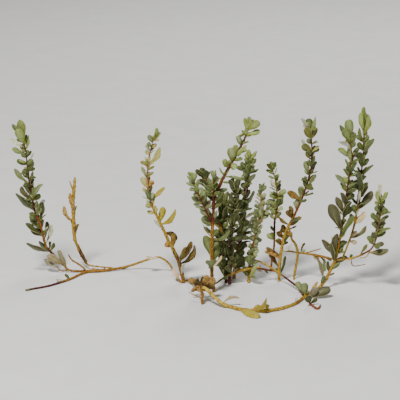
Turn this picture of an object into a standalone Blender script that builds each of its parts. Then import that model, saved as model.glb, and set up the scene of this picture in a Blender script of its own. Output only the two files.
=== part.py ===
"""A creeping seashore plant with small fleshy leaves, standing as it grows.

Every node is one leafy stem: stem tubes and leaves joined into one solid.
Lengths are in millimetres until the last step, which turns them into metres.
"""

import math
import random

import bmesh
import bpy
from mathutils import Vector
from mathutils.bvhtree import BVHTree

# Places are read as they are seen from the front, in steps of 1.5 mm: right
# of the left edge and down from the top. The eye is far off and 16 degrees up.
STEP = 1.5
EYE_TILT = math.radians(16.0)
EYE_AWAY = 3333.0
MIDDLE_STEP = 200.0
LOOK_AT = Vector((0.0, 0.0, 129.5))
ACROSS = Vector((1.0, 0.0, 0.0))
AHEAD = Vector((0.0, math.cos(EYE_TILT), -math.sin(EYE_TILT)))
UPWARD = Vector((0.0, math.sin(EYE_TILT), math.cos(EYE_TILT)))
EYE = LOOK_AT - EYE_AWAY * AHEAD
# The middle of the plant's box on the ground, which becomes the origin.
MIDDLE = Vector((-1.08, -41.13, 0.0))

LEAF_THICK = 1.4
NECK = 0.2
CLEAR = 0.45
LOWEST = -0.1
SIDES = 6
DRY = "ot"
# Of the leaves placed by rule, more of those over this width are solids.
BROAD = 9.2
# The share of them that is rolled towards the front.
TURNED = 0.65
# Thinner stems have four sides, and shorter leaves one ring less.
THIN = 1.25
SHORT = 23.0


def ray(right, down):
    off = (right - MIDDLE_STEP) * ACROSS + (MIDDLE_STEP - down) * UPWARD
    return AHEAD + off * (STEP / EYE_AWAY)


def at(right, down, back, radius=0.0):
    """The place seen there that lies this far back, and a stem's radius."""
    line = ray(right, down)
    return EYE + line * ((back - EYE.y) / line.y), radius


def on(right, down, height, radius=0.0):
    """The place seen there that lies at this height, and a stem's radius."""
    line = ray(right, down)
    return EYE + line * ((height - EYE.z) / line.z), radius


def seen(point):
    off = point - EYE
    away = off.dot(AHEAD)
    scale = EYE_AWAY / (away * STEP)
    return MIDDLE_STEP + off.dot(ACROSS) * scale, MIDDLE_STEP - off.dot(UPWARD) * scale


# Each row of a leaf table: where the leaf joins its stem, where its tip is,
# how wide it looks, its kind, and how far it bows to its left where it does.
# Kinds: y young, l straw green, h golden, k olive, g green, s silvery, d dark,
# m mauve, v pale mauve, w pale edge, p papery and pale, and o and t dry.
# Each fill: stem, start and end along it, spacing, length, width, kind, spread.
# The broad leaves are solids; slivers and most of the fill only keep their place.
PLANT = {
    "creeping_stem_left": dict(
        stems=[
            [on(25.5, 290, 1.2, 1.4), on(34, 288.6, 1.3, 1.5), on(48, 286, 1.3, 1.6),
             on(59, 282.8, 1.5, 1.7), on(70.5, 278.9, 1.6, 1.8), on(79.6, 274.5, 1.7, 1.9),
             on(88, 271.8, 1.8, 2.0), on(97, 271.3, 1.8, 2.0), on(108, 270, 2.4, 2.0),
             on(120, 268, 3.5, 1.9), on(131, 265.3, 7, 1.8), on(143.7, 261, 15, 1.7),
             on(154, 257.8, 23, 1.6), on(159, 257.2, 25, 1.6), on(165, 260, 20, 1.6),
             on(170, 265, 12, 1.6), on(173, 270.4, 6, 1.6), on(176, 275.5, 3.5, 1.6),
             on(180.2, 281.2, 3, 1.5)],
            [on(87, 272, 1.8, 1.4), at(84, 268.5, 46, 1.4), at(78, 263.7, 48, 1.4),
             at(72, 260, 48, 1.2), at(68.3, 254.5, 46, 0.9)],
        ],
        leaves="159 256.5 146.5 257 3.4 p, 181 280.5 172.5 269 5 p, 131 266 121 268.5 3 o,"
               "67 277.5 56 280 3 w, 70 279 65 274 3 d, 99 271 92 268.5 3 t, 31 289.5 24.8 290.2 2.5 g",
        fill=[],
    ),
    "shoot_left": dict(
        stems=[
            [on(104, 269.5, 1.3, 1.4), on(97, 270.1, 1.3, 1.5), on(88, 270.6, 1.5, 1.6),
             on(80, 271, 1.8, 1.6), on(74, 271, 2.4, 1.6), at(68, 269.5, 47, 1.6),
             at(64, 265.5, 48, 1.7), at(58, 259.5, 49, 1.8), at(51, 252, 49, 1.8), at(46, 246, 48, 1.8),
             at(43.5, 238, 46, 1.9), at(41.5, 229, 44, 1.9), at(39, 221, 42, 1.9),
             at(35.5, 213, 40, 1.7), at(33.3, 204, 38, 1.6), at(31.5, 196, 36, 1.4),
             at(29.5, 186, 33, 1.3), at(28.5, 174, 30, 1.2), at(27, 163, 27, 1.1), at(26, 152, 24, 1.0),
             at(23.5, 142, 22, 0.8), at(22, 134, 21, 0.7)],
            [at(68, 269.8, 47, 0.9), at(62, 271.2, 44, 0.8), at(56, 266, 43, 0.6)],
        ],
        leaves="23.5 142 21 120 9 y, 23.5 144 17.5 129 9 y, 21 140 12.5 124 4 g, 26.4 150 28.5 135 4 y,"
               "26 146 25.7 140.5 2.5 w, 20 148.6 9.7 138.6 2 w, 23 154.3 12 148.6 5 y,"
               "27 156 28.5 150.5 3 w, 32 161.4 33.6 152.6 2 w, 30.4 173 33 161 4.5 y,"
               "23 163 19 160 3 y, 27 167 20.7 174.5 2.5 s, 28 184 14 169 4 s, 33.5 199 32.5 178 5 g,"
               "33.8 200 42 184 3 s, 31.5 200 20.5 187 5 m, 31 196 24 184 3 g, 33 212 15.5 193.5 6 d,"
               "34.3 210.7 23 200 6 s, 38 216 39.3 203.5 3 s, 39.5 221 43 202.5 4 d, 41 212 45 200 2 w,"
               "40 230 30.7 217 6 s, 41.4 236.4 31 229 7 m, 40 236 25.5 224 3 d,"
               "49 238 47.9 226.4 2.5 w, 44 240 46 222 4 d, 50 243 51.5 224 3 w, 49 252 54.5 243 4 d,"
               "48 253 38.7 242 5 g, 48 253.6 26.4 243 3.5 m, 61 266 47.6 255 8 v,"
               "58 266.4 44.3 259.3 5 v, 67 268.6 58.6 250 5.5 v",
        fill=[(0, 0.4, 0.97, 12, 17, 9, "g", 25)],
    ),
    "shoot_dry": dict(
        stems=[
            [at(113, 268.0, 58.4, 1.2), at(106, 267.2, 61, 1.2), at(98, 266.6, 63, 1.2),
             at(88, 264.6, 64, 1.4), at(84.5, 259.5, 64, 2.5), at(81, 253, 64, 2.7),
             at(77.5, 245.5, 64, 2.2), at(75, 240, 64, 2.3), at(74, 232, 65, 3.0),
             at(73.8, 222, 66, 2.9), at(73, 212, 67, 2.4), at(73.3, 200, 68, 2.6), at(74, 190, 70, 2.4),
             at(74.6, 182, 71, 2.1), at(74.8, 177, 72, 1.2)],
            [at(73.6, 192, 69, 1.1), at(71.5, 186.5, 68, 1.0), at(69.6, 181, 67, 0.8)],
        ],
        leaves="72.5 212 70 193 4 t, 74 222 63.5 206 5 t 2.5, 75 222 75.8 206 3 w,"
               "75.3 236 78.7 224 3 o, 82 255 77 246.5 3 t, 85.5 261 79 250 4 t, 74 232 71 221 3 t",
        fill=[],
    ),
    "shoot_second": dict(
        stems=[
            [on(183.6, 283.4, -1, 2.6), at(183.5, 280.5, -1.5, 2.6), at(182, 275, 0, 2.7),
             at(179.5, 264, 2, 2.8), at(176, 255, 4, 2.7), at(172.5, 248, 6, 2.6),
             at(168.5, 241, 8, 2.5), at(165, 233, 10, 2.4), at(161, 225, 12, 2.3),
             at(158.5, 219, 14, 2.2), at(155, 212, 16, 2.0), at(151.5, 204, 18, 1.8),
             at(149.5, 197, 20, 1.7), at(148, 188, 22, 1.6), at(147, 178, 24, 1.4),
             at(148, 168, 25, 1.3), at(149, 160, 26, 1.2), at(150, 152, 26, 1.1),
             at(151.5, 146, 26, 0.8), at(154, 139, 26, 0.7), at(156, 133, 26, 0.6)],
        ],
        leaves="155 141 157.5 128 4 y, 156 143 160 132 5 y, 153 143 148.5 135 5 s,"
               "151 147 147.5 142.5 4 s, 149.5 151 145.5 145 3 s, 150 152 154.5 144 3 m,"
               "149 166 160.5 147.5 6 l 1, 148 165 140.3 161.5 4 l, 147 165 145 158 2 y,"
               "146 179 142 166.5 3 s, 147 189 141.5 177 6 l, 148 187 153.5 181 5 t,"
               "148 184 149.5 176.4 3 t, 149 197 151.5 187 3 m, 149 203 145 190.5 4 s,"
               "151.5 200.5 153 192.5 2.5 y, 152 201 166.5 184.5 4.4 h, 150 206 146 200 3 w,"
               "160.5 222 163.5 207 7 h, 162 224 175.5 209.5 4.4 h -1.5, 163 230 154.5 219.5 2 w,"
               "166 232 177 240 6 o 2, 172 248 165.5 243 6 t, 173 248 174 233 6 o,"
               "168 240 165.5 247 4 t, 178.5 262 191.5 241.5 5 o -1, 179.5 264 195 245.5 4.5 o -2,"
               "178.5 263 186 247 5 o, 178 256 173 251.5 2.5 d, 182.5 277 184.5 263 1.8 w,"
               "178.5 268 173.5 255 1.8 w",
        fill=[(0, 0.45, 0.97, 11, 13, 7, "l", 25)],
    ),
    "crown": dict(
        stems=[
            [at(187.4, 280.5, -4, 1.6), at(192, 281.2, -25, 1.7), at(197, 282.8, -55, 1.9),
             at(200.5, 284.5, -85, 2.2), at(202, 286.5, -96, 2.5), at(202, 290, -99.5, 2.3),
             at(202.2, 297, -102.5, 1.9), on(202.3, 305, -1, 1.8)],
            [at(200.8, 284.8, -88, 1.8), at(206, 284.4, -75, 1.8), at(210, 283.4, -54, 1.7)],
            [at(202, 298, -102.7, 0.7), at(195, 295.5, -101, 0.6), at(188.5, 292, -98, 0.5)],
            [at(201.9, 286, -95.5, 0.9), at(202.4, 279, -94, 0.8), at(202.6, 275, -93, 0.6)],
        ],
        leaves="200 283 188.5 279 7 t, 200 284.5 191 291.5 4 t, 203 283 209 276.5 7 t,"
               "203 285 215.5 279 8 t, 203 286 215.5 288 5 o, 200 284 194 283 5 o,"
               "201 287 207 290.5 4 t, 200 284 196.5 278.5 4 o, 204 285 212 284 6 m,"
               "201 284 203 277 3 d",
        fill=[(0, 0.62, 0.78, 9, 14, 7, "t", 40)],
    ),
    "creeping_stem_front": dict(
        stems=[
            [at(203.9, 287.7, -99.8, 2.4), at(209, 291.5, -106, 2.6), at(215.7, 298, -114, 2.7),
             at(222, 303.3, -119.5, 2.7), on(230, 306.6, 2.5, 2.8), on(241, 309.3, 2.4, 2.8),
             on(254.6, 310.8, 2.4, 2.8), on(267, 310.6, 2.3, 2.7), on(279.5, 308.7, 2.2, 2.6),
             on(288.7, 306, 2.1, 2.4), on(294.4, 303.8, 2.0, 2.3), on(299.5, 300.8, 1.9, 2.2)],
            [on(265.5, 310.6, 2.5, 0.9), on(265, 313, 1.2, 0.7)],
        ],
        leaves="223 302.8 239.5 298.3 3.5 p 1.6, 240 311 259 317.5 7.5 h, 254.5 309 266.5 298 3 h -1,"
               "252 309 260.5 305.5 5 h, 266 311 268 304.5 4 h, 296.5 303 296.5 297.5 3 w,"
               "299 301.5 294.5 305.5 4 d",
        fill=[],
    ),
    "shoot_front": dict(
        stems=[
            [on(213.9, 292.2, -1, 2.6), at(213.8, 288, -48, 2.6), at(212.6, 283, -48, 2.5),
             at(212, 277, -47, 2.6), at(211.8, 265, -45, 2.6), at(211.8, 250, -42, 2.6),
             at(212, 238, -40, 2.5), at(212.6, 225, -37, 2.4), at(213.4, 213, -34, 2.2),
             at(213.8, 203, -31, 2.1), at(216, 194, -28, 2.1), at(219.3, 187, -26, 2.3),
             at(222, 180, -24, 2.5), at(226, 173, -22, 2.5), at(231, 163.5, -19, 2.3),
             at(235, 157, -17, 2.2), at(238.5, 151, -15, 2.1), at(241.5, 145, -13, 1.9),
             at(244.5, 139, -11, 1.6), at(246.8, 132, -9, 1.2), at(248, 127, -8, 0.8)],
            [at(212.5, 224, -37, 1.4), at(208, 215, -42, 1.3), at(205, 208, -46, 1.2),
             at(201.5, 201, -50, 1.1), at(198, 193, -53, 1.0), at(195.5, 185, -55, 0.8),
             at(193.3, 179, -56, 0.7)],
            [at(213.9, 202, -31, 1.3), at(211.5, 194, -24, 1.2), at(208.5, 187, -18, 1.1),
             at(205, 180, -13, 1.0), at(202, 173, -9, 0.8)],
            [at(213.8, 204, -31, 1.2), at(213.3, 196, -37, 1.1), at(213, 188, -41, 1.0),
             at(213.2, 180, -44, 0.8), at(213.4, 175, -45, 0.7)],
            [at(212, 237, -40, 0.8), at(207.5, 233, -41, 0.7), at(204.5, 229, -42, 0.6),
             at(203.3, 224.5, -42, 0.5)],
        ],
        leaves="211 258 205 235.5 9 g, 212.5 268 210.5 260.5 11 s, 213 239.5 229.5 230 3.5 g -2,"
               "213 264 217 244 9 g, 213 249 218.5 241 5 g, 214 238 218 229.5 5 g,"
               "214.5 267 222 256 1.8 p, 214 222 224 233 3 o, 214 222 217 210.5 3.5 s,"
               "221.5 182.5 229.5 183 2.5 y, 222 180 217.5 177.5 1.5 y, 230 167 224.5 163.5 6 y,"
               "231 162 235.5 169 7 y, 232 161 231 147.5 9 s, 236 159 246.5 145.5 2.5 y,"
               "240.5 146 237.5 135.5 5 s, 246 132 239 136.5 3 y, 247.5 135 260 130.5 5.5 y,"
               "248.5 130 259.5 121.5 8 y, 248 131 250 117 5 y, 246.5 131 245.5 118 4.5 y,"
               "246 138 249 137 1.5 w, 204 178 195.5 170 5 d, 204 178 201 167.5 5 d,"
               "205 180 209.5 171.5 4 s, 206 182 206 170 5 d, 208.5 187 199 179 4 d,"
               "210 191 206 189.5 4 d, 208 189 198.5 180.5 3 s, 212 197 218 188 4 d,"
               "213 180 213.5 171.5 5 s, 214 186 217 176 6 s, 212 187 208 178 4 s,"
               "213 197 206 189.5 4 g, 193 181 194.5 173 6 y, 192 181 188 172 3.5 y,"
               "193 183 187 175.5 2.5 s, 196 189 186 183 1.8 s, 195 188 191.5 181.5 3 s,"
               "207 212 199 187 7 s, 198 193 197.5 181 4 y, 203 206 191.5 196.5 5 s,"
               "201 200 194.5 190.5 4 s, 209 217 200.5 210 5 s, 211 226 202 217 8 s,"
               "206 210 210 200 4 m",
        fill=[(0, 0.22, 0.6, 12, 21, 11, "g", 20), (0, 0.66, 0.97, 13, 16, 9, "y", 20),
              (1, 0.3, 0.95, 11, 15, 6.5, "s", 25), (2, 0.25, 0.95, 9, 14, 8, "d", 30),
              (3, 0.2, 0.95, 10, 14, 8, "g", 30)],
    ),
    "shoot_dark_low": dict(
        stems=[
            [on(226, 283.3, -1, 2.1), at(225.9, 279.5, 0, 2.1), at(225.5, 273, -1, 2.1),
             at(224, 262, -4, 2.0), at(223, 250, -7, 1.8), at(222, 238, -9, 1.6),
             at(222.5, 225, -11, 1.4), at(224, 212, -13, 1.3), at(224, 203, -14, 1.0)],
        ],
        leaves="223.5 206 221 191.5 6 y, 224 207 226.5 192 5 y, 224 222 222 203 9 d,"
               "224.5 222 228 205 5 d, 222.5 232 219 222 4 o, 223.5 260 229 243 4 d,"
               "225.5 279 221 257 10 g, 225.5 278 227.5 263 5 g, 222 240 219.5 228 4 g,"
               "222.5 247 220.5 240 3 o, 224 262 216.5 252 5 d",
        fill=[(0, 0.15, 0.97, 11, 20, 11, "g", 30)],
    ),
    "shoot_dark": dict(
        stems=[
            [on(229.5, 284.6, -1, 2.9), at(229.5, 280.5, -6.5, 2.9), at(229.8, 274, -7, 2.9),
             at(230.5, 265, -9, 2.7), at(231, 250, -13, 2.4), at(231.5, 235, -17, 2.1),
             at(233, 220, -22, 1.9), at(234.5, 208, -26, 1.7), at(235, 198, -30, 1.4),
             at(234.8, 190, -34, 1.0)],
        ],
        leaves="235 192 232 178 6 d, 235 192 238.5 179 6 d, 235 194 230.5 180 5 d, 235 193 235 182 7 d,"
               "233.5 206 229.5 193 5 d, 235 203 239 196 3 g, 231.5 262 233 245 4 d,"
               "231 258 227 246 4 d, 234 225 236 213.5 9 d, 230 267 232.5 256 6 g, 231 268 232 254 9 d,"
               "233.5 218 228.5 208 5 d, 231.5 240 227 229 4 d",
        fill=[(0, 0.15, 0.97, 11, 20, 11, "d", 30)],
    ),
    "shoot_middle": dict(
        stems=[
            [on(233.8, 279.2, -1, 2.8), at(234, 275.5, 24, 2.8), at(235, 268, 25, 2.8),
             at(236.5, 258, 27, 2.6), at(238, 250, 29, 2.5), at(240.5, 240, 31, 2.4),
             at(243, 230, 33, 2.4), at(243.3, 218, 35, 2.3), at(243.5, 208, 37, 2.1),
             at(245, 198, 38, 1.9), at(246.5, 188, 40, 1.7), at(248, 178, 41, 1.4),
             at(249.5, 168, 42, 1.2), at(250, 159, 43, 0.9)],
            [at(243.2, 221, 34, 1.3), at(243, 215, 20, 1.2), at(242.4, 209.5, 4, 1.1),
             at(242, 206, -10, 0.9)],
        ],
        leaves="249.5 160 248 149.5 5 y, 251 158 256.5 151 4 y, 249 165 244.5 158.5 3 y,"
               "251 168 253.5 158 4 y, 248.5 178 246.5 168 5.5 g, 248 180 243.5 176 3 m,"
               "246 170 240.5 162.5 5 g, 245 172 236.5 167 5 g, 250 186 255 174 5 s,"
               "249 190 251 180 4 g, 244 199 246.5 186 5 m, 246 199 250 190 3.5 d,"
               "248 208 254.5 191 4.5 s, 246 220 256 212 1.8 w, 245 231 248 226 1.5 w,"
               "249 227 255.5 216 4 v, 245 235 253 224.5 4 s, 246 241 257.5 236 3.5 s,"
               "243 178 230.5 176 3 s 1.5, 239 252 245.5 242 6.5 d, 236.5 266.5 245 257 8 g,"
               "237 267 241.5 256 6 g, 236 272 240.5 262 6 g, 236 270 246 268.5 2 t,"
               "251 168 254.5 165.5 3 y, 242.4 206.5 236.8 206 7.5 g, 242.4 206.5 248.6 206.5 7.5 g,"
               "242.4 206.5 242.5 199.8 7.5 g, 242.4 206.5 242.5 212.8 7.5 g,"
               "242.4 206.5 239.8 203.8 2.5 d, 242.4 206.5 245.2 204 2.5 d,"
               "242.4 206.5 244.8 208.8 2.5 d, 242.4 206.5 240 208.6 2.5 d",
        fill=[(0, 0.15, 0.97, 12, 19, 10.5, "g", 30)],
    ),
    "shoot_fine": dict(
        stems=[
            [on(248.9, 283.3, -1, 2.5), at(248.9, 279.5, 0, 2.5), at(249.2, 270, 0, 2.3),
             at(250, 260, 1, 2.0), at(252, 249, 3, 1.7), at(254.5, 239, 5, 1.5), at(256, 230, 7, 1.4),
             at(258, 221, 9, 1.3), at(259.8, 212, 11, 1.2), at(260.5, 204, 12, 1.1),
             at(261, 196, 13, 1.0), at(262, 188, 14, 0.8)],
            [at(256.6, 227, 8, 1.1), at(261, 220, 3, 1.0), at(265, 212, -3, 0.9), at(268, 203, -8, 0.7)],
        ],
        leaves="262 189 264.5 182.3 2.5 w, 261.5 192 266 185.5 4 s, 261 195 258.5 189.5 3 g,"
               "249 267 249 255 5 g, 249 277 254 265 5 g, 249 276 243.5 266 5 g, 250 262 247 256 3 g,"
               "250 264 255.5 257 2.5 g, 250.5 277 258 263 1.8 y -1.5, 251 253 252 243 2 o,"
               "251 262 254 250 2 o, 249.5 275 254 270 1.8 w",
        fill=[(0, 0.18, 0.98, 5.2, 13, 7.5, "s", 35), (1, 0.12, 0.97, 5, 12, 7, "s", 35)],
    ),
    "shoot_small": dict(
        stems=[
            [at(271, 268.6, 5, 1.5), at(272.3, 258, 8, 1.5), at(274, 247, 12, 1.5),
             at(274.4, 235, 16, 1.6), at(274.6, 222, 20, 1.6), at(276, 214, 23, 1.5),
             at(277.6, 205, 26, 1.2), at(277.2, 197, 29, 1.1), at(276.5, 188, 31, 1.0),
             at(275.3, 180, 33, 0.9), at(273.5, 173, 35, 0.8), at(272, 167.5, 36, 0.6)],
        ],
        leaves="272.5 169 267 164 3.5 k, 272 168 271 161.5 4 y, 273 169 275.5 162 4 k,"
               "273.5 172 266 170 3 g, 274.5 178 277.8 175.5 4 g, 275.5 189 271 179.5 3 w,"
               "276.5 192 280 183 4 d, 276 196 273 192.5 4 d, 277.5 206 283 201.5 3.5 g,"
               "277 207 268 200 6.5 g, 277.5 207 279.5 198.5 5.5 g, 274 240 267 234 5 y,"
               "274 238 271 232.5 4 y, 274.5 232 270.5 226 3 g",
        fill=[(0, 0.46, 0.98, 6, 14, 8, "y", 35)],
    ),
    "creeping_stem_middle": dict(
        stems=[
            [at(215.9, 283.4, -46, 1.3), at(220, 280.5, -30, 1.4), at(225.2, 277, -6.5, 1.5),
             at(228.6, 275.3, -12.4, 1.6), at(232, 274, -12.2, 1.6), at(237, 272.2, -9, 1.6),
             at(243, 270.2, -7, 1.6), at(249.2, 269, -6.2, 1.6), at(256, 268.4, -3, 1.5),
             at(263, 269, 2, 1.5), at(270, 270.4, 5, 1.4), at(276.6, 271, 6.2, 1.3)],
            [at(236, 272.4, -9, 1.4), at(236.2, 270.8, 8, 1.4), at(235.5, 269.4, 20.6, 1.3)],
        ],
        leaves="256 268.4 262 271.5 2 w, 254 268.5 261 266 2 t, 263 269 268 273 2 d,"
               "221 280 228 276 2.5 g, 232 274 226.5 266 5 d",
        fill=[],
    ),
    "shoot_tall": dict(
        stems=[
            [on(279, 282.1, -1, 2.1), at(279, 278.5, 6.5, 2.1), at(279.4, 266, 7, 2.2),
             at(281.8, 248, 6, 2.3), at(284.9, 234, 5, 2.2), at(288.5, 226, 4, 2.0),
             at(292.5, 219, 3, 1.9), at(297.3, 209, 1, 1.7), at(302, 198.5, -1, 1.5),
             at(305.8, 188, -3, 1.4), at(308.6, 178.6, -5, 1.3), at(310.6, 171, -7, 1.3),
             at(311.6, 162, -9, 1.2), at(311.8, 153, -11, 1.1), at(311.7, 144, -12, 1.0),
             at(311, 136, -13, 0.9), at(310, 130, -14, 0.7)],
            [at(288.3, 226.6, 4, 1.5), at(290.3, 233, 7, 1.7), at(292, 239.5, 9, 1.8),
             at(295.3, 244, 11, 1.9), at(297.3, 250, 12, 1.9), at(297.6, 257, 14, 1.9),
             at(296, 266, 16, 1.9), at(294.2, 276, 17.5, 1.8), on(293.9, 280.1, -1, 1.8)],
        ],
        leaves="309 132 308.5 118.5 8 g, 306 129 302.5 118 2.5 w, 311 129 315.5 117.5 4.5 y,"
               "308 133 302.5 124.5 2 w, 313 139 316.5 127.5 5.5 k, 309.5 139.5 306 127.5 7 k,"
               "310 150 301.5 139.5 1.8 w, 311 151.5 302 145 7.5 k, 315 152 319.5 146 2.5 l,"
               "312 157 315 145.5 4 g, 310 160 306 151.5 4 k, 312 166 314.5 155.5 3 d,"
               "307 175 304 161.5 5.5 s, 311 177 314.5 164 4 o, 307.5 188 315.5 174.5 4 y,"
               "307 176 301 180 1.5 o, 301 199 301 186 7 s, 299.5 199 287.3 192 7 o,"
               "296 211 298 199 6 s, 292.5 219 288 210 7 o, 292 221 298.5 219.5 6 d,"
               "288 224 276.5 214.5 3 o, 285 239 277.5 231.5 6 o, 283 246 277 239 6 o,"
               "286 234 281 228 5 o, 287 229 296.5 225.5 1.5 o, 284.5 245 289 231.5 5 d,"
               "279.5 258 264.5 251 3.4 t 1, 280.5 256 266.5 247 6 o 1, 279 268 269 252.5 3 o 1.5,"
               "280 276 285.5 256 1.8 d, 282 252 292.5 244 1.8 w",
        fill=[(0, 0.5, 0.98, 12, 15, 8, "g", 25), (0, 0.28, 0.45, 14, 17, 8, "o", 30)],
    ),
    "side_stem": dict(
        stems=[
            [at(284.1, 251.0, 7.5, 1.3), at(290, 251.3, 14, 1.3), at(297.5, 252.6, 18, 1.4),
             at(305, 253.6, 13, 1.5), at(313, 254.6, 4, 1.7), at(322, 256.5, -8, 1.8),
             at(330, 258.3, -17, 1.6), at(332.9, 259, -20.5, 1.4)],
            [at(303, 253.4, 14, 0.9), at(311, 251.5, 8, 0.9), at(321, 248.6, 3, 0.8)],
        ],
        leaves="313 257 323 276 5 v 1.5, 321 275 325.5 271.5 3 s, 301 252 305 243 2 o,"
               "313 255 319 259 5 t, 319 257 326 262.5 2 o, 302 252 304.5 249 3 s",
        fill=[],
    ),
    "creeping_stem_right": dict(
        stems=[
            [at(253.5, 259.2, 3.5, 1.1), at(258, 261, 6, 1.3), at(263.7, 263.3, 4, 1.4),
             at(271.3, 268, -2, 1.5), at(279, 273, -5, 1.5), at(284, 276.6, -12, 1.5),
             at(293, 283.4, -32, 1.6), at(298.5, 288, -50, 1.6), at(302.6, 293.3, -68, 1.6)],
        ],
        leaves="301 290.5 297 281.5 6 s",
        fill=[],
    ),
    "shoot_right": dict(
        stems=[
            [on(299.64, 300.7, 1.9, 2.2), on(303, 297.8, 2.1, 2.4), on(308, 294.5, 2.3, 2.6),
             on(314, 291, 2.8, 2.6), at(320, 287, -38, 2.5), at(326, 279, -30, 2.4),
             at(330, 271, -26, 2.3), at(334, 263, -23, 2.2), at(337, 254, -21, 2.0),
             at(339, 244, -20, 1.8), at(341, 232, -20, 1.6), at(343, 220, -20, 1.5),
             at(345, 208, -21, 1.4), at(346.5, 197, -22, 1.3), at(347.5, 187, -24, 1.2),
             at(349.5, 176, -26, 1.1), at(351, 166, -28, 1.1), at(352.5, 159, -29, 1.0),
             at(351.5, 152, -30, 0.9), at(351, 145, -31, 0.8), at(350.3, 138, -32, 0.7)],
            [on(308.5, 295.3, 2.4, 1.2), on(309.5, 302.5, 1.6, 1.5), on(317, 308.4, 1.7, 1.6),
             on(321, 304.5, 2.4, 0.8)],
        ],
        leaves="309.5 303.5 307.5 296 8 d, 305.5 296.8 303.8 283 8.5 s, 309.5 297 317 287.5 6.5 v,"
               "312.5 296.5 330.5 288.5 9 m, 309 296 317.8 281.5 3.2 t, 304 297 302 293 3 o,"
               "322 286 324.5 276 4 d, 329.5 277 334.5 273 2 o, 329 273 328 261 4 d,"
               "331.5 271 339.5 262 5 g, 334.5 262 331 243 4 d, 334 258 322 239.5 5 m 1.5,"
               "337.5 255 336 234 7 m, 338 258 345 240.5 7 g, 336 248 331 236.5 3 w,"
               "336 252 327 244 2.5 w, 343 240 354 216 5 g, 343 240 346.5 224 3 d,"
               "340 230 331 204 10 m, 340 229 337 219 4 y, 346 220 351 202 5 d, 342.5 214 337 197 6 m,"
               "344 207 341.5 192.5 5 m, 346 210 353 187.5 6 g, 347 191 335.5 174.5 4 s,"
               "347 185 343.5 176.5 3.5 y, 350 177 345.5 159 3 s, 351 176 356.5 162 5 g,"
               "352 160 357 151 4 m, 350 163 348.5 146 3.5 s, 352 158 338 150 5 y,"
               "351 150 338 141.5 2.2 w, 352 150 356 133 4 y, 352 137 348.5 119.5 9 y,"
               "350 142 344.5 129 9 y, 350 136 340 125 5 g",
        fill=[(0, 0.3, 0.97, 12, 18, 9.5, "g", 25)],
    ),
    "shoot_right_tall": dict(
        stems=[
            [at(343.2, 257.0, -22, 1.4), at(346.5, 248, -21, 1.5), at(350, 239, -19, 1.5),
             at(353, 230, -16, 1.6), at(355.5, 219, -13, 1.6), at(357.3, 208, -10, 1.6),
             at(358.8, 197, -7, 1.5), at(360, 187, -4, 1.3), at(360.8, 177, -2, 1.2),
             at(362, 167, 0, 1.1), at(363, 155, 2, 1.0), at(363.6, 145, 4, 0.9), at(364, 136, 6, 0.8),
             at(364, 127, 8, 0.7)],
        ],
        leaves="364 124 363.3 107 3 y, 363 130 360 113 6 y, 365 134 369.5 115.5 6 y,"
               "364 137 364 112 5 y, 363 141 359 128 4 y, 363.5 140 362 126 2 w, 364 152 368.5 137 4 y,"
               "363.5 166 367 149 4 y, 365 152 374 141 3.5 g, 362 168 359.5 152 6 g,"
               "361 178.5 373.5 165 2.8 s, 361.5 175 366.5 167 3 g, 358.5 198 358 171 6 g,"
               "360 198 367 184.5 6 m, 357 210 372 191 7.5 v, 358.5 205 360.5 191 2 w,"
               "356 223 365 212 4.5 p, 355.5 224.5 366 214 4.5 p, 351 238 366.5 226 1.8 m -1,"
               "351 237 357 231.5 4 p, 349 241 357 243 4.5 p, 356 217 358.8 209.5 2 w",
        fill=[(0, 0.25, 0.97, 12, 17, 9, "g", 25)],
    ),
    "shoot_far_right": dict(
        stems=[
            [at(337.0, 260.2, -22.5, 1.5), at(343, 259.4, -22.5, 1.6), at(350, 258.4, -24, 1.6),
             at(355.7, 257.2, -26, 1.5), at(363.3, 253.8, -29, 1.5), at(370, 250, -32, 1.4),
             at(373.5, 245.5, -35, 1.3), at(376, 239, -38, 1.2), at(377.8, 231, -41, 1.2),
             at(379.3, 222, -44, 1.1), at(380.3, 213, -46, 1.0), at(380.5, 205, -48, 0.9),
             at(380.5, 198, -49, 0.7)],
            [at(352, 258, -25, 0.8), at(351.5, 262.5, -27, 0.8), at(354, 266, -28, 0.8),
             at(365.5, 264.3, -30, 0.6)],
            [at(370.5, 249.5, -32, 0.8), at(368, 254.5, -35, 0.7), at(365, 257.4, -36, 0.7),
             at(359.5, 257.9, -36, 0.6)],
        ],
        leaves="380.4 196 380.4 183.8 1.5 w, 380 205 377.5 190.5 6 y, 381 203 387 192 4.5 y,"
               "381 208 383.5 197 6 g, 380 215 375 201 3 y, 380.5 217 391 212 2.5 y,"
               "380 217 381.3 204 1.5 w, 379 229 376.5 217.5 6 g, 379 229 384 218.5 4 g,"
               "377.5 236 391 228 2.5 y, 378 235 383 229.5 3 g, 375.5 243 373.5 231.5 5 s,"
               "374 246.5 384 243.5 5 m, 370 253 388.5 250.5 7 m, 359 253 367.5 244.5 2.5 k,"
               "352 259 345 259.5 3 p, 349 258.5 344 256.5 3 d",
        fill=[(0, 0.4, 0.97, 13, 17, 9, "g", 25)],
    ),
}
GROUNDED = ("creeping_stem_left", "shoot_left", "shoot_second", "crown", "creeping_stem_front",
            "shoot_front", "shoot_dark_low", "shoot_dark", "shoot_middle", "shoot_fine", "shoot_tall",
            "shoot_right")


def tube_faces(path):
    """A plain tube round a path, only for testing what comes near it."""
    points, faces = [], []
    for i, (point, radius) in enumerate(path):
        before, after = path[max(i - 1, 0)][0], path[min(i + 1, len(path) - 1)][0]
        way = (after - before).normalized()
        side = way.orthogonal().normalized()
        other = way.cross(side)
        for k in range(SIDES):
            turn = 2 * math.pi * k / SIDES
            points.append(point + radius * (math.cos(turn) * side + math.sin(turn) * other))
    for i in range(len(path) - 1):
        for k in range(SIDES):
            a, b = i * SIDES + k, i * SIDES + (k + 1) % SIDES
            faces.append((a, b, b + SIDES, a + SIDES))
    return points, faces


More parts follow.
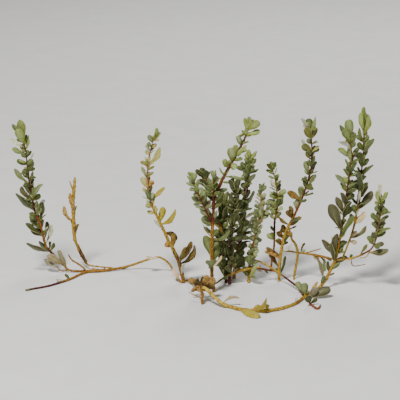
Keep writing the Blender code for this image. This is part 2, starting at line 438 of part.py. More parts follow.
def foot(stems, right, down):
    """The stem point that is seen nearest to a place, and its radius."""
    best = None
    for path in stems:
        for (start, r0), (end, r1) in zip(path, path[1:]):
            sx, sy = seen(start)
            ex, ey = seen(end)
            span = (ex - sx) ** 2 + (ey - sy) ** 2
            share = ((right - sx) * (ex - sx) + (down - sy) * (ey - sy)) / max(span, 1e-9)
            length = (end - start).length
            first = 1.5 * r0 / length if start is path[0][0] else 0.0
            last = 1.0 - (2.5 * r1 / length if end is path[-1][0] else 0.0)
            share = max(min(share, last), first)
            off = math.hypot(sx + share * (ex - sx) - right, sy + share * (ey - sy) - down)
            if best is None or off < best[0]:
                best = (off, start.lerp(end, share), r0 + share * (r1 - r0))
    return best[1], best[2]


def along(path, share):
    """The point, direction and radius at a share of a path's length."""
    spans = [(b[0] - a[0]).length for a, b in zip(path, path[1:])]
    left = share * sum(spans)
    for (a, ra), (b, rb), span in zip(path, path[1:], spans):
        if left <= span:
            part = left / span
            return a.lerp(b, part), (b - a).normalized(), ra + part * (rb - ra)
        left -= span
    return path[-1][0], (path[-1][0] - path[-2][0]).normalized(), path[-1][1]


def ball(around, stops):
    """A sphere's vertices as (share of a leaf's length, turn), and its faces."""
    bm = bmesh.new()
    bmesh.ops.create_uvsphere(bm, u_segments=around, v_segments=len(stops) + 1, radius=1.0)
    rings = (0.0, *stops, 1.0)
    places = []
    for v in bm.verts:
        ring = round(math.acos(max(-1.0, min(1.0, -v.co.z))) / math.pi * (len(stops) + 1))
        places.append((rings[ring], math.atan2(v.co.y, v.co.x)))
    faces = [[v.index for v in f.verts] for f in bm.faces]
    bm.free()
    return places, faces


def blade(t):
    """The width of a spoon-shaped blade, as a share of its widest."""
    if t <= 0.0 or t >= 1.0:
        return 0.0
    rise = NECK + (1 - NECK) * math.sin(math.pi / 2 * min(max((t - 0.03) / 0.6, 0.0), 1.0)) ** 1.3
    return rise * (1 - max(0.0, (t - 0.62) / 0.38) ** 2.6) ** 0.45


def leaf_points(leaf, places, wider=0.0, thicker=0.0):
    """A sphere drawn out into a spoon-shaped blade that starts in its stem."""
    reach = leaf["tip"] - leaf["base"]
    side = leaf["side"]
    face = side.cross(reach).normalized()
    long = reach.length
    points = []
    for t, turn in places:
        half = blade(t) * (leaf["width"] / 2 + wider)
        thick = math.sqrt(blade(t)) * (LEAF_THICK / 2 + thicker)
        bow = 4 * t * (1 - t)
        points.append(leaf["base"] + reach * t + face * (bow * leaf["cup"] * long) + leaf["bow"] * bow
                      + side * (math.cos(turn) * half) + face * (math.sin(turn) * thick))
    return points


TEST_BALL = ball(4, (0.05, 0.5, 0.85))


class Garden:
    """What has been placed, so that what comes next can keep clear of it."""

    def __init__(self):
        self.things = []

    def add(self, node, points, faces):
        middle = sum(points, Vector()) / len(points)
        reach = max((p - middle).length for p in points)
        self.things.append((node, middle, reach, BVHTree.FromPolygons(points, faces)))

    def free(self, node, points, faces, own):
        """Whether a blade is clear of other nodes, and of its own if asked."""
        if min(p.z for p in points) < LOWEST:
            return False
        middle = sum(points, Vector()) / len(points)
        reach = max((p - middle).length for p in points)
        tree = None
        for other, centre, radius, there in self.things:
            if other == node and not own:
                continue
            if (centre - middle).length > radius + reach:
                continue
            tree = tree or BVHTree.FromPolygons(points, faces)
            if tree.overlap(there):
                return False
        return True


def try_leaf(garden, node, leaf, own):
    return garden.free(node, leaf_points(leaf, TEST_BALL[0], CLEAR, CLEAR), TEST_BALL[1], own)


def keep(garden, node, leaf, leaves):
    garden.add(node, leaf_points(leaf, TEST_BALL[0]), TEST_BALL[1])
    leaves.append(leaf)


def rolled(reach, turn):
    """A blade's sideways direction, rolled from facing the front."""
    side = reach.cross(AHEAD).normalized()
    return math.cos(turn) * side + math.sin(turn) * side.cross(reach).normalized()


def read_leaf(garden, node, stems, row, dice, leaves):
    """Places a leaf read from the front, at the first free lean to the back."""
    bx, by, tx, ty, wide = (float(v) for v in row[:5])
    kind = row[5]
    bulge = float(row[6]) if len(row) > 6 else 0.0
    base, radius = foot(stems, bx, by)
    tip_flat = at(tx, ty, base.y)[0]
    flat = (tip_flat - base).length
    wide *= STEP
    if wide > 0.58 * flat:
        long = max(1.7 * wide, flat)
        lean = -math.sqrt(max(long * long - flat * flat, 0.0))
    else:
        lean = dice.choice((-1, 1)) * dice.uniform(0.12, 0.4) * flat
    turn_way = dice.choice((-1, 1))
    cup = dice.uniform(0.03, 0.09) * dice.choice((-1, 1))
    shifts = [0, 4, -4, 8, -8, 12, -12, 17, -17, 22, -22, 28, -28, 34, -34, -40, -46]
    limit = max(1.5 * flat, abs(lean) + 1, 14.0)
    for own in (True, False):
        for size in (1.0, 0.85, 0.7):
            for shift in shifts:
                back = lean + shift
                if abs(back) > limit:
                    continue
                tip = base.lerp(at(tx, ty, base.y + back)[0], size)
                reach = tip - base
                if reach.length < 3 * radius:
                    continue
                real = max(wide, (0.3 if kind in DRY else 0.42) * reach.length) * size
                turn = turn_way * min(math.acos(min(wide * size / real, 1.0)), math.radians(65))
                leaf = dict(base=base, tip=tip, side=rolled(reach, turn), width=real, cup=cup,
                            kind=kind, bow=reach.cross(AHEAD).normalized() * (bulge * STEP),
                            main=wide > 2.6 * STEP)
                if try_leaf(garden, node, leaf, own):
                    keep(garden, node, leaf, leaves)
                    return


def fill_leaves(garden, node, path, spec, dice, leaves):
    """Opposite pairs, each turned across the last, and beside the stem from the front."""
    _, start, end, gap, long, wide, kind, spread = spec
    length = sum((b[0] - a[0]).length for a, b in zip(path, path[1:]))
    count = max(1, round((end - start) * length / gap))
    every = 2 if wide > BROAD else 4
    for i in range(count):
        share = start + (end - start) * (i + 0.5) / count
        base, way, radius = along(path, share)
        front = (-AHEAD - way * (-AHEAD).dot(way)).normalized()
        across = way.cross(front)
        small = 1.0 - 0.3 * max(0.0, share - 0.75) / 0.25
        for half in (0, 1):
            facing = math.pi * (half + (1 + i % 2) / 3)
            placed = False
            for size in (1.0, 0.8, 0.62):
                for _ in range(7):
                    turn = facing + math.radians(dice.uniform(-1, 1) * spread)
                    out = math.cos(turn) * front + math.sin(turn) * across
                    lift = math.radians(dice.uniform(32, 66))
                    reach = math.cos(lift) * way + math.sin(lift) * out
                    reach *= long * size * small * dice.uniform(0.85, 1.15)
                    side = way.cross(out).normalized()
                    if dice.random() < TURNED:
                        side = rolled(reach, math.radians(dice.uniform(-60, 60)))
                    leaf = dict(base=base, tip=base + reach, side=side, width=wide * size * small,
                                cup=dice.uniform(-0.1, 0.04), kind=kind, bow=Vector(),
                                main=i % every == 1)
                    if not placed and reach.length > 3 * radius and try_leaf(garden, node, leaf, True):
                        keep(garden, node, leaf, leaves)
                        placed = True


def grow():
    """Stem paths and leaves of each node, all clear of the other nodes."""
    garden = Garden()
    for node, plan in PLANT.items():
        for path in plan["stems"]:
            garden.add(node, *tube_faces(path))
    stem_trees = list(garden.things)
    plants = {node: [] for node in PLANT}
    for number, (node, plan) in enumerate(PLANT.items()):
        dice = random.Random(100 + number)
        # A leaf starts inside its own stem, so its own stems aren't tested.
        garden.things = [t for t in garden.things if t[0] != node]
        for row in plan["leaves"].split(","):
            read_leaf(garden, node, plan["stems"], row.split(), dice, plants[node])
        garden.things += [t for t in stem_trees if t[0] == node]
    for number, (node, plan) in enumerate(PLANT.items()):
        dice = random.Random(500 + number)
        own_stems = [t for t in stem_trees if t[0] == node]
        garden.things = [t for t in garden.things if t not in own_stems]
        for spec in plan["fill"]:
            fill_leaves(garden, node, plan["stems"][spec[0]], spec, dice, plants[node])
        garden.things += own_stems
    return plants


LEAF_BALLS = (ball(4, (0.05, 0.5, 0.85)), ball(4, (0.05, 0.75)))


def tube(name, path):
    """A stem: a line given thickness, with its two ends closed."""
    line = bpy.data.curves.new(name, "CURVE")
    line.dimensions = "3D"
    line.bevel_depth = 1.0
    line.bevel_resolution = 1 if sum(radius for _, radius in path) / len(path) > THIN else 0
    line.resolution_u = 1
    line.use_fill_caps = True
    spline = line.splines.new("POLY")
    spline.points.add(len(path) - 1)
    for spot, (point, radius) in zip(spline.points, path):
        spot.co = (*point, 1.0)
        spot.radius = radius
    holder = bpy.data.objects.new(name, line)
    bpy.context.collection.objects.link(holder)
    graph = bpy.context.evaluated_depsgraph_get()
    mesh = bpy.data.meshes.new_from_object(holder.evaluated_get(graph))
    bpy.data.objects.remove(holder)
    bpy.data.curves.remove(line)
    bm = bmesh.new()
    bm.from_mesh(mesh)
    bmesh.ops.remove_doubles(bm, verts=bm.verts, dist=1e-4)
    bmesh.ops.recalc_face_normals(bm, faces=bm.faces)
    bm.to_mesh(mesh)
    bm.free()
    mesh.materials.clear()
    return mesh


def body(name, mesh, group=None):
    thing = bpy.data.objects.new(name, mesh)
    (group or bpy.context.collection).objects.link(thing)
    return thing


def leaf_mesh(name, leaf):
    small = (leaf["tip"] - leaf["base"]).length < SHORT
    places, faces = LEAF_BALLS[1] if small else LEAF_BALLS[0]
    mesh = bpy.data.meshes.new(name)
    mesh.from_pydata(leaf_points(leaf, places), [], faces)
    bm = bmesh.new()
    bm.from_mesh(mesh)
    bmesh.ops.triangulate(bm, faces=bm.faces)
    bmesh.ops.recalc_face_normals(bm, faces=bm.faces)
    bm.to_mesh(mesh)
    bm.free()
    return mesh


def block(name, group):
    """The ground as a block whose top is at height nought."""
    bm = bmesh.new()
    bmesh.ops.create_cube(bm, size=1.0)
    bmesh.ops.scale(bm, vec=(900, 900, 40), verts=bm.verts)
    bmesh.ops.translate(bm, vec=(0, 0, -20), verts=bm.verts)
    mesh = bpy.data.meshes.new(name)
    bm.to_mesh(mesh)
    bm.free()
    return body(name, mesh, group)


def combine(thing, group, operation):
    """One Boolean of a body with a collection, whose objects then go."""
    step = thing.modifiers.new(operation, "BOOLEAN")
    step.operation = operation
    step.operand_type = "COLLECTION"
    step.collection = group
    step.solver = "MANIFOLD"
    graph = bpy.context.evaluated_depsgraph_get()
    made = bpy.data.meshes.new_from_object(thing.evaluated_get(graph))
    thing.modifiers.clear()
    thing.data = made
    for other in list(group.objects):
        bpy.data.objects.remove(other)


def main():
    for thing in list(bpy.data.objects):
        bpy.data.objects.remove(thing)
    group = bpy.data.collections.new("joining")
    bpy.context.scene.collection.children.link(group)
    for node, leaves in grow().items():
        stems = [tube(f"{node}_tube", path) for path in PLANT[node]["stems"]]
        thing = body(node, stems[0])
        for i, mesh in enumerate(stems[1:]):
            body(f"branch_{i}", mesh, group)
        for i, leaf in enumerate(leaf for leaf in leaves if leaf["main"]):
            body(f"leaf_{i}", leaf_mesh(f"leaf_{i}", leaf), group)
        combine(thing, group, "UNION")
        if node in GROUNDED:
            block("ground", group)
            combine(thing, group, "DIFFERENCE")
        for v in thing.data.vertices:
            v.co = (v.co - MIDDLE) * 0.001
    bpy.data.collections.remove(group)


main()
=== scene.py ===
"""The look of a creeping seashore plant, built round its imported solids.

Each node of the frame is shown by its stems and its leaves, drawn finely.
Lengths are in millimetres in the plant's layout and in metres in the scene.
"""

import math
import random

import bmesh
import bpy
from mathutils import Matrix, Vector, noise
from mathutils.bvhtree import BVHTree


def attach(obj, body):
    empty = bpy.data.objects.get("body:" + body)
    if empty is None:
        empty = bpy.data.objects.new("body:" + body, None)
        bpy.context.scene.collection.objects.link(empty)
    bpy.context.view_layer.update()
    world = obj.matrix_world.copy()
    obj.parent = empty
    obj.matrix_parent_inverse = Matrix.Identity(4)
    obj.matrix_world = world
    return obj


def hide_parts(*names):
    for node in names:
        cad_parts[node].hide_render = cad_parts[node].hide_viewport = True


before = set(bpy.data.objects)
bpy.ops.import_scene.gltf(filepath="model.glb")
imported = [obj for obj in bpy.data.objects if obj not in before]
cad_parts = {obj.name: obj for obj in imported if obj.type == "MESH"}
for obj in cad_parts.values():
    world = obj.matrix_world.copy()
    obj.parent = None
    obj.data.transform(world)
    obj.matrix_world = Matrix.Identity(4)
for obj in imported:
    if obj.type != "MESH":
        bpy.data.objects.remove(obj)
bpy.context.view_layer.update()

# Places are read as they are seen from the front, in steps of 1.5 mm: right
# of the left edge and down from the top. The eye is far off and 16 degrees up.
STEP = 1.5
EYE_TILT = math.radians(16.0)
EYE_AWAY = 3333.0
MIDDLE_STEP = 200.0
LOOK_AT = Vector((0.0, 0.0, 129.5))
ACROSS = Vector((1.0, 0.0, 0.0))
AHEAD = Vector((0.0, math.cos(EYE_TILT), -math.sin(EYE_TILT)))
UPWARD = Vector((0.0, math.sin(EYE_TILT), math.cos(EYE_TILT)))
EYE = LOOK_AT - EYE_AWAY * AHEAD
# The middle of the plant's box on the ground, which becomes the origin.
MIDDLE = Vector((-1.08, -41.13, 0.0))

LEAF_THICK = 1.4
# A blade's width where it starts, as a share of its widest.
NECK = 0.2
# How far leaves keep from other things when they are placed, and how low they go.
CLEAR = 0.45
LOWEST = -0.1
# The sides of the plain tubes that stand for stems in these tests.
SIDES = 6
# The kinds of leaves that are dry, and how narrow dry and living ones may be.
DRY = "ot"
DRY_NARROWEST, NARROWEST = 0.3, 0.42
# A leaf that looks rounder than this points to the eye, and is this much longer than wide.
ROUND_LOOK = 0.58
ROUND_LONG = 1.7
# Other leaves lean to the back or front by this share of their length.
LEAN = (0.12, 0.4)
# The furthest that a leaf is rolled so that it looks narrow.
MOST_ROLL = math.radians(65)
# The sizes, and the shifts of its tip to the back, that a leaf tries in turn.
SIZES = (1.0, 0.85, 0.7)
SHIFTS = (0, 4, -4, 8, -8, 12, -12, 17, -17, 22, -22, 28, -28, 34, -34, -40, -46)
# For leaves placed by rule: sizes and tries, how steeply they rise, how their length
# varies, the share rolled towards the front, and how far.
RULE_SIZES = (1.0, 0.8, 0.62)
RULE_TRIES = 7
RISE = (32, 66)
VARIES = (0.85, 1.15)
TURNED = 0.65
RULE_ROLL = 60
# From this share of a stem on they get smaller, by this share at its tip.
SMALLER_FROM = 0.75
SMALLER_BY = 0.3


def ray(right, down):
    off = (right - MIDDLE_STEP) * ACROSS + (MIDDLE_STEP - down) * UPWARD
    return AHEAD + off * (STEP / EYE_AWAY)


def at(right, down, back, radius=0.0):
    """The place seen there that lies this far back, and a stem's radius."""
    line = ray(right, down)
    return EYE + line * ((back - EYE.y) / line.y), radius


def on(right, down, height, radius=0.0):
    """The place seen there that lies at this height, and a stem's radius."""
    line = ray(right, down)
    return EYE + line * ((height - EYE.z) / line.z), radius


def seen(point):
    off = point - EYE
    away = off.dot(AHEAD)
    scale = EYE_AWAY / (away * STEP)
    return MIDDLE_STEP + off.dot(ACROSS) * scale, MIDDLE_STEP - off.dot(UPWARD) * scale


def layout(stems, leaves, *fills):
    """A node's stem paths, its rows of leaves, and its leaves placed by rule."""
    paths = []
    for stem in stems.split(";"):
        paths.append([])
        for point in stem.split(","):
            words = point.split()
            place = on if words[2].startswith("g") else at
            paths[-1].append(place(*(float(word.lstrip("g")) for word in words)))
    return dict(stems=paths, leaves=[row.split() for row in leaves.split(",")], fills=fills)


# Each node has its stems first, parted by semicolons. A stem's points say where they
# are seen, how far back (or after a g, how high above the ground), and the radius.
# Each leaf says where it joins its stem, where its tip is, how wide it looks, its
# kind, and how far it bows to its left where it does.
# Kinds: y young, l straw green, h golden, k olive, g green, s silvery, d dark (in part painted
# shade for leaves deep in the clump), m mauve, v pale mauve, w a leaf seen edge-on and painted
# near white as a highlight, p papery and pale, and o and t dry.
# Each rule says its stem, start and end along it, spacing, length, width, kind, spread.
PLANT = {
    "creeping_stem_left": layout("""
    25.5 290 g1.2 1.4, 34 288.6 g1.3 1.5, 48 286 g1.3 1.6, 59 282.8 g1.5 1.7, 70.5 278.9 g1.6 1.8,
    79.6 274.5 g1.7 1.9, 88 271.8 g1.8 2, 97 271.3 g1.8 2, 108 270 g2.4 2, 120 268 g3.5 1.9,
    131 265.3 g7 1.8, 143.7 261 g15 1.7, 154 257.8 g23 1.6, 159 257.2 g25 1.6, 165 260 g20 1.6,
    170 265 g12 1.6, 173 270.4 g6 1.6, 176 275.5 g3.5 1.6, 180.2 281.2 g3 1.5;
    87 272 g1.8 1.4, 84 268.5 46 1.4, 78 263.7 48 1.4, 72 260 48 1.2, 68.3 254.5 46 0.9""", """
    159 256.5 146.5 257 3.4 p, 181 280.5 172.5 269 5 p, 131 266 121 268.5 3 o,
    67 277.5 56 280 3 w, 70 279 65 274 3 d, 99 271 92 268.5 3 t, 31 289.5 24.8 290.2 2.5 g"""),
    "shoot_left": layout("""
    104 269.5 g1.3 1.4, 97 270.1 g1.3 1.5, 88 270.6 g1.5 1.6, 80 271 g1.8 1.6, 74 271 g2.4 1.6,
    68 269.5 47 1.6, 64 265.5 48 1.7, 58 259.5 49 1.8, 51 252 49 1.8, 46 246 48 1.8,
    43.5 238 46 1.9, 41.5 229 44 1.9, 39 221 42 1.9, 35.5 213 40 1.7, 33.3 204 38 1.6,
    31.5 196 36 1.4, 29.5 186 33 1.3, 28.5 174 30 1.2, 27 163 27 1.1, 26 152 24 1,
    23.5 142 22 0.8, 22 134 21 0.7;
    68 269.8 47 0.9, 62 271.2 44 0.8, 56 266 43 0.6""", """
    23.5 142 21 120 9 y, 23.5 144 17.5 129 9 y, 21 140 12.5 124 4 g, 26.4 150 28.5 135 4 y,
    26 146 25.7 140.5 2.5 w, 20 148.6 9.7 138.6 2 w, 23 154.3 12 148.6 5 y, 27 156 28.5 150.5 3 w,
    32 161.4 33.6 152.6 2 w, 30.4 173 33 161 4.5 y, 23 163 19 160 3 y, 27 167 20.7 174.5 2.5 s,
    28 184 14 169 4 s, 33.5 199 32.5 178 5 g, 33.8 200 42 184 3 s, 31.5 200 20.5 187 5 m,
    31 196 24 184 3 g, 33 212 15.5 193.5 6 d, 34.3 210.7 23 200 6 s, 38 216 39.3 203.5 3 s,
    39.5 221 43 202.5 4 d, 41 212 45 200 2 w, 40 230 30.7 217 6 s, 41.4 236.4 31 229 7 m,
    40 236 25.5 224 3 d, 49 238 47.9 226.4 2.5 w, 44 240 46 222 4 d, 50 243 51.5 224 3 w,
    49 252 54.5 243 4 d, 48 253 38.7 242 5 g, 48 253.6 26.4 243 3.5 m, 61 266 47.6 255 8 v,
    58 266.4 44.3 259.3 5 v, 67 268.6 58.6 250 5.5 v""",
    (0, 0.4, 0.97, 12, 17, 9, "g", 25)),
    "shoot_dry": layout("""
    113 268 58.4 1.2, 106 267.2 61 1.2, 98 266.6 63 1.2, 88 264.6 64 1.4, 84.5 259.5 64 2.5,
    81 253 64 2.7, 77.5 245.5 64 2.2, 75 240 64 2.3, 74 232 65 3, 73.8 222 66 2.9, 73 212 67 2.4,
    73.3 200 68 2.6, 74 190 70 2.4, 74.6 182 71 2.1, 74.8 177 72 1.2;
    73.6 192 69 1.1, 71.5 186.5 68 1, 69.6 181 67 0.8""", """
    72.5 212 70 193 4 t, 74 222 63.5 206 5 t 2.5, 75 222 75.8 206 3 w, 75.3 236 78.7 224 3 o,
    82 255 77 246.5 3 t, 85.5 261 79 250 4 t, 74 232 71 221 3 t"""),
    "shoot_second": layout("""
    183.6 283.4 g-1 2.6, 183.5 280.5 -1.5 2.6, 182 275 0 2.7, 179.5 264 2 2.8, 176 255 4 2.7,
    172.5 248 6 2.6, 168.5 241 8 2.5, 165 233 10 2.4, 161 225 12 2.3, 158.5 219 14 2.2,
    155 212 16 2, 151.5 204 18 1.8, 149.5 197 20 1.7, 148 188 22 1.6, 147 178 24 1.4,
    148 168 25 1.3, 149 160 26 1.2, 150 152 26 1.1, 151.5 146 26 0.8, 154 139 26 0.7,
    156 133 26 0.6""", """
    155 141 157.5 128 4 y, 156 143 160 132 5 y, 153 143 148.5 135 5 s, 151 147 147.5 142.5 4 s,
    149.5 151 145.5 145 3 s, 150 152 154.5 144 3 m, 149 166 160.5 147.5 6 l 1,
    148 165 140.3 161.5 4 l, 147 165 145 158 2 y, 146 179 142 166.5 3 s, 147 189 141.5 177 6 l,
    148 187 153.5 181 5 t, 148 184 149.5 176.4 3 t, 149 197 151.5 187 3 m, 149 203 145 190.5 4 s,
    151.5 200.5 153 192.5 2.5 y, 152 201 166.5 184.5 4.4 h, 150 206 146 200 3 w,
    160.5 222 163.5 207 7 h, 162 224 175.5 209.5 4.4 h -1.5, 163 230 154.5 219.5 2 w,
    166 232 177 240 6 o 2, 172 248 165.5 243 6 t, 173 248 174 233 6 o, 168 240 165.5 247 4 t,
    178.5 262 191.5 241.5 5 o -1, 179.5 264 195 245.5 4.5 o -2, 178.5 263 186 247 5 o,
    178 256 173 251.5 2.5 d, 182.5 277 184.5 263 1.8 w, 178.5 268 173.5 255 1.8 w""",
    (0, 0.45, 0.97, 11, 13, 7, "l", 25)),
    "crown": layout("""
    187.4 280.5 -4 1.6, 192 281.2 -25 1.7, 197 282.8 -55 1.9, 200.5 284.5 -85 2.2,
    202 286.5 -96 2.5, 202 290 -99.5 2.3, 202.2 297 -102.5 1.9, 202.3 305 g-1 1.8;
    200.8 284.8 -88 1.8, 206 284.4 -75 1.8, 210 283.4 -54 1.7;
    202 298 -102.7 0.7, 195 295.5 -101 0.6, 188.5 292 -98 0.5;
    201.9 286 -95.5 0.9, 202.4 279 -94 0.8, 202.6 275 -93 0.6""", """
    200 283 188.5 279 7 t, 200 284.5 191 291.5 4 t, 203 283 209 276.5 7 t, 203 285 215.5 279 8 t,
    203 286 215.5 288 5 o, 200 284 194 283 5 o, 201 287 207 290.5 4 t, 200 284 196.5 278.5 4 o,
    204 285 212 284 6 m, 201 284 203 277 3 d""",
    (0, 0.62, 0.78, 9, 14, 7, "t", 40)),
    "creeping_stem_front": layout("""
    203.9 287.7 -99.8 2.4, 209 291.5 -106 2.6, 215.7 298 -114 2.7, 222 303.3 -119.5 2.7,
    230 306.6 g2.5 2.8, 241 309.3 g2.4 2.8, 254.6 310.8 g2.4 2.8, 267 310.6 g2.3 2.7,
    279.5 308.7 g2.2 2.6, 288.7 306 g2.1 2.4, 294.4 303.8 g2 2.3, 299.5 300.8 g1.9 2.2;
    265.5 310.6 g2.5 0.9, 265 313 g1.2 0.7""", """
    223 302.8 239.5 298.3 3.5 p 1.6, 240 311 259 317.5 7.5 h, 254.5 309 266.5 298 3 h -1,
    252 309 260.5 305.5 5 h, 266 311 268 304.5 4 h, 296.5 303 296.5 297.5 3 w,
    299 301.5 294.5 305.5 4 d"""),
    "shoot_front": layout("""
    213.9 292.2 g-1 2.6, 213.8 288 -48 2.6, 212.6 283 -48 2.5, 212 277 -47 2.6, 211.8 265 -45 2.6,
    211.8 250 -42 2.6, 212 238 -40 2.5, 212.6 225 -37 2.4, 213.4 213 -34 2.2, 213.8 203 -31 2.1,
    216 194 -28 2.1, 219.3 187 -26 2.3, 222 180 -24 2.5, 226 173 -22 2.5, 231 163.5 -19 2.3,
    235 157 -17 2.2, 238.5 151 -15 2.1, 241.5 145 -13 1.9, 244.5 139 -11 1.6, 246.8 132 -9 1.2,
    248 127 -8 0.8;
    212.5 224 -37 1.4, 208 215 -42 1.3, 205 208 -46 1.2, 201.5 201 -50 1.1, 198 193 -53 1,
    195.5 185 -55 0.8, 193.3 179 -56 0.7;
    213.9 202 -31 1.3, 211.5 194 -24 1.2, 208.5 187 -18 1.1, 205 180 -13 1, 202 173 -9 0.8;
    213.8 204 -31 1.2, 213.3 196 -37 1.1, 213 188 -41 1, 213.2 180 -44 0.8, 213.4 175 -45 0.7;
    212 237 -40 0.8, 207.5 233 -41 0.7, 204.5 229 -42 0.6, 203.3 224.5 -42 0.5""", """
    211 258 205 235.5 9 g, 212.5 268 210.5 260.5 11 s, 213 239.5 229.5 230 3.5 g -2,
    213 264 217 244 9 g, 213 249 218.5 241 5 g, 214 238 218 229.5 5 g, 214.5 267 222 256 1.8 p,
    214 222 224 233 3 o, 214 222 217 210.5 3.5 s, 221.5 182.5 229.5 183 2.5 y,
    222 180 217.5 177.5 1.5 y, 230 167 224.5 163.5 6 y, 231 162 235.5 169 7 y,
    232 161 231 147.5 9 s, 236 159 246.5 145.5 2.5 y, 240.5 146 237.5 135.5 5 s,
    246 132 239 136.5 3 y, 247.5 135 260 130.5 5.5 y, 248.5 130 259.5 121.5 8 y,
    248 131 250 117 5 y, 246.5 131 245.5 118 4.5 y, 246 138 249 137 1.5 w, 204 178 195.5 170 5 d,
    204 178 201 167.5 5 d, 205 180 209.5 171.5 4 s, 206 182 206 170 5 d, 208.5 187 199 179 4 d,
    210 191 206 189.5 4 d, 208 189 198.5 180.5 3 s, 212 197 218 188 4 d, 213 180 213.5 171.5 5 s,
    214 186 217 176 6 s, 212 187 208 178 4 s, 213 197 206 189.5 4 g, 193 181 194.5 173 6 y,
    192 181 188 172 3.5 y, 193 183 187 175.5 2.5 s, 196 189 186 183 1.8 s,
    195 188 191.5 181.5 3 s, 207 212 199 187 7 s, 198 193 197.5 181 4 y, 203 206 191.5 196.5 5 s,
    201 200 194.5 190.5 4 s, 209 217 200.5 210 5 s, 211 226 202 217 8 s, 206 210 210 200 4 m""",
    (0, 0.22, 0.6, 12, 21, 11, "g", 20), (0, 0.66, 0.97, 13, 16, 9, "y", 20),
    (1, 0.3, 0.95, 11, 15, 6.5, "s", 25), (2, 0.25, 0.95, 9, 14, 8, "d", 30),
    (3, 0.2, 0.95, 10, 14, 8, "g", 30)),
    "shoot_dark_low": layout("""
    226 283.3 g-1 2.1, 225.9 279.5 0 2.1, 225.5 273 -1 2.1, 224 262 -4 2, 223 250 -7 1.8,
    222 238 -9 1.6, 222.5 225 -11 1.4, 224 212 -13 1.3, 224 203 -14 1""", """
    223.5 206 221 191.5 6 y, 224 207 226.5 192 5 y, 224 222 222 203 9 d, 224.5 222 228 205 5 d,
    222.5 232 219 222 4 o, 223.5 260 229 243 4 d, 225.5 279 221 257 10 g, 225.5 278 227.5 263 5 g,
    222 240 219.5 228 4 g, 222.5 247 220.5 240 3 o, 224 262 216.5 252 5 d""",
    (0, 0.15, 0.97, 11, 20, 11, "g", 30)),
    "shoot_dark": layout("""
    229.5 284.6 g-1 2.9, 229.5 280.5 -6.5 2.9, 229.8 274 -7 2.9, 230.5 265 -9 2.7,
    231 250 -13 2.4, 231.5 235 -17 2.1, 233 220 -22 1.9, 234.5 208 -26 1.7, 235 198 -30 1.4,
    234.8 190 -34 1""", """
    235 192 232 178 6 d, 235 192 238.5 179 6 d, 235 194 230.5 180 5 d, 235 193 235 182 7 d,
    233.5 206 229.5 193 5 d, 235 203 239 196 3 g, 231.5 262 233 245 4 d, 231 258 227 246 4 d,
    234 225 236 213.5 9 d, 230 267 232.5 256 6 g, 231 268 232 254 9 d, 233.5 218 228.5 208 5 d,
    231.5 240 227 229 4 d""",
    (0, 0.15, 0.97, 11, 20, 11, "d", 30)),
    "shoot_middle": layout("""
    233.8 279.2 g-1 2.8, 234 275.5 24 2.8, 235 268 25 2.8, 236.5 258 27 2.6, 238 250 29 2.5,
    240.5 240 31 2.4, 243 230 33 2.4, 243.3 218 35 2.3, 243.5 208 37 2.1, 245 198 38 1.9,
    246.5 188 40 1.7, 248 178 41 1.4, 249.5 168 42 1.2, 250 159 43 0.9;
    243.2 221 34 1.3, 243 215 20 1.2, 242.4 209.5 4 1.1, 242 206 -10 0.9""", """
    249.5 160 248 149.5 5 y, 251 158 256.5 151 4 y, 249 165 244.5 158.5 3 y,
    251 168 253.5 158 4 y, 248.5 178 246.5 168 5.5 g, 248 180 243.5 176 3 m,
    246 170 240.5 162.5 5 g, 245 172 236.5 167 5 g, 250 186 255 174 5 s, 249 190 251 180 4 g,
    244 199 246.5 186 5 m, 246 199 250 190 3.5 d, 248 208 254.5 191 4.5 s, 246 220 256 212 1.8 w,
    245 231 248 226 1.5 w, 249 227 255.5 216 4 v, 245 235 253 224.5 4 s, 246 241 257.5 236 3.5 s,
    243 178 230.5 176 3 s 1.5, 239 252 245.5 242 6.5 d, 236.5 266.5 245 257 8 g,
    237 267 241.5 256 6 g, 236 272 240.5 262 6 g, 236 270 246 268.5 2 t, 251 168 254.5 165.5 3 y,
    242.4 206.5 236.8 206 7.5 g, 242.4 206.5 248.6 206.5 7.5 g, 242.4 206.5 242.5 199.8 7.5 g,
    242.4 206.5 242.5 212.8 7.5 g, 242.4 206.5 239.8 203.8 2.5 d, 242.4 206.5 245.2 204 2.5 d,
    242.4 206.5 244.8 208.8 2.5 d, 242.4 206.5 240 208.6 2.5 d""",
    (0, 0.15, 0.97, 12, 19, 10.5, "g", 30)),
    "shoot_fine": layout("""
    248.9 283.3 g-1 2.5, 248.9 279.5 0 2.5, 249.2 270 0 2.3, 250 260 1 2, 252 249 3 1.7,
    254.5 239 5 1.5, 256 230 7 1.4, 258 221 9 1.3, 259.8 212 11 1.2, 260.5 204 12 1.1,
    261 196 13 1, 262 188 14 0.8;
    256.6 227 8 1.1, 261 220 3 1, 265 212 -3 0.9, 268 203 -8 0.7""", """
    262 189 264.5 182.3 2.5 w, 261.5 192 266 185.5 4 s, 261 195 258.5 189.5 3 g,
    249 267 249 255 5 g, 249 277 254 265 5 g, 249 276 243.5 266 5 g, 250 262 247 256 3 g,
    250 264 255.5 257 2.5 g, 250.5 277 258 263 1.8 y -1.5, 251 253 252 243 2 o,
    251 262 254 250 2 o, 249.5 275 254 270 1.8 w""",
    (0, 0.18, 0.98, 5.2, 13, 7.5, "s", 35), (1, 0.12, 0.97, 5, 12, 7, "s", 35)),
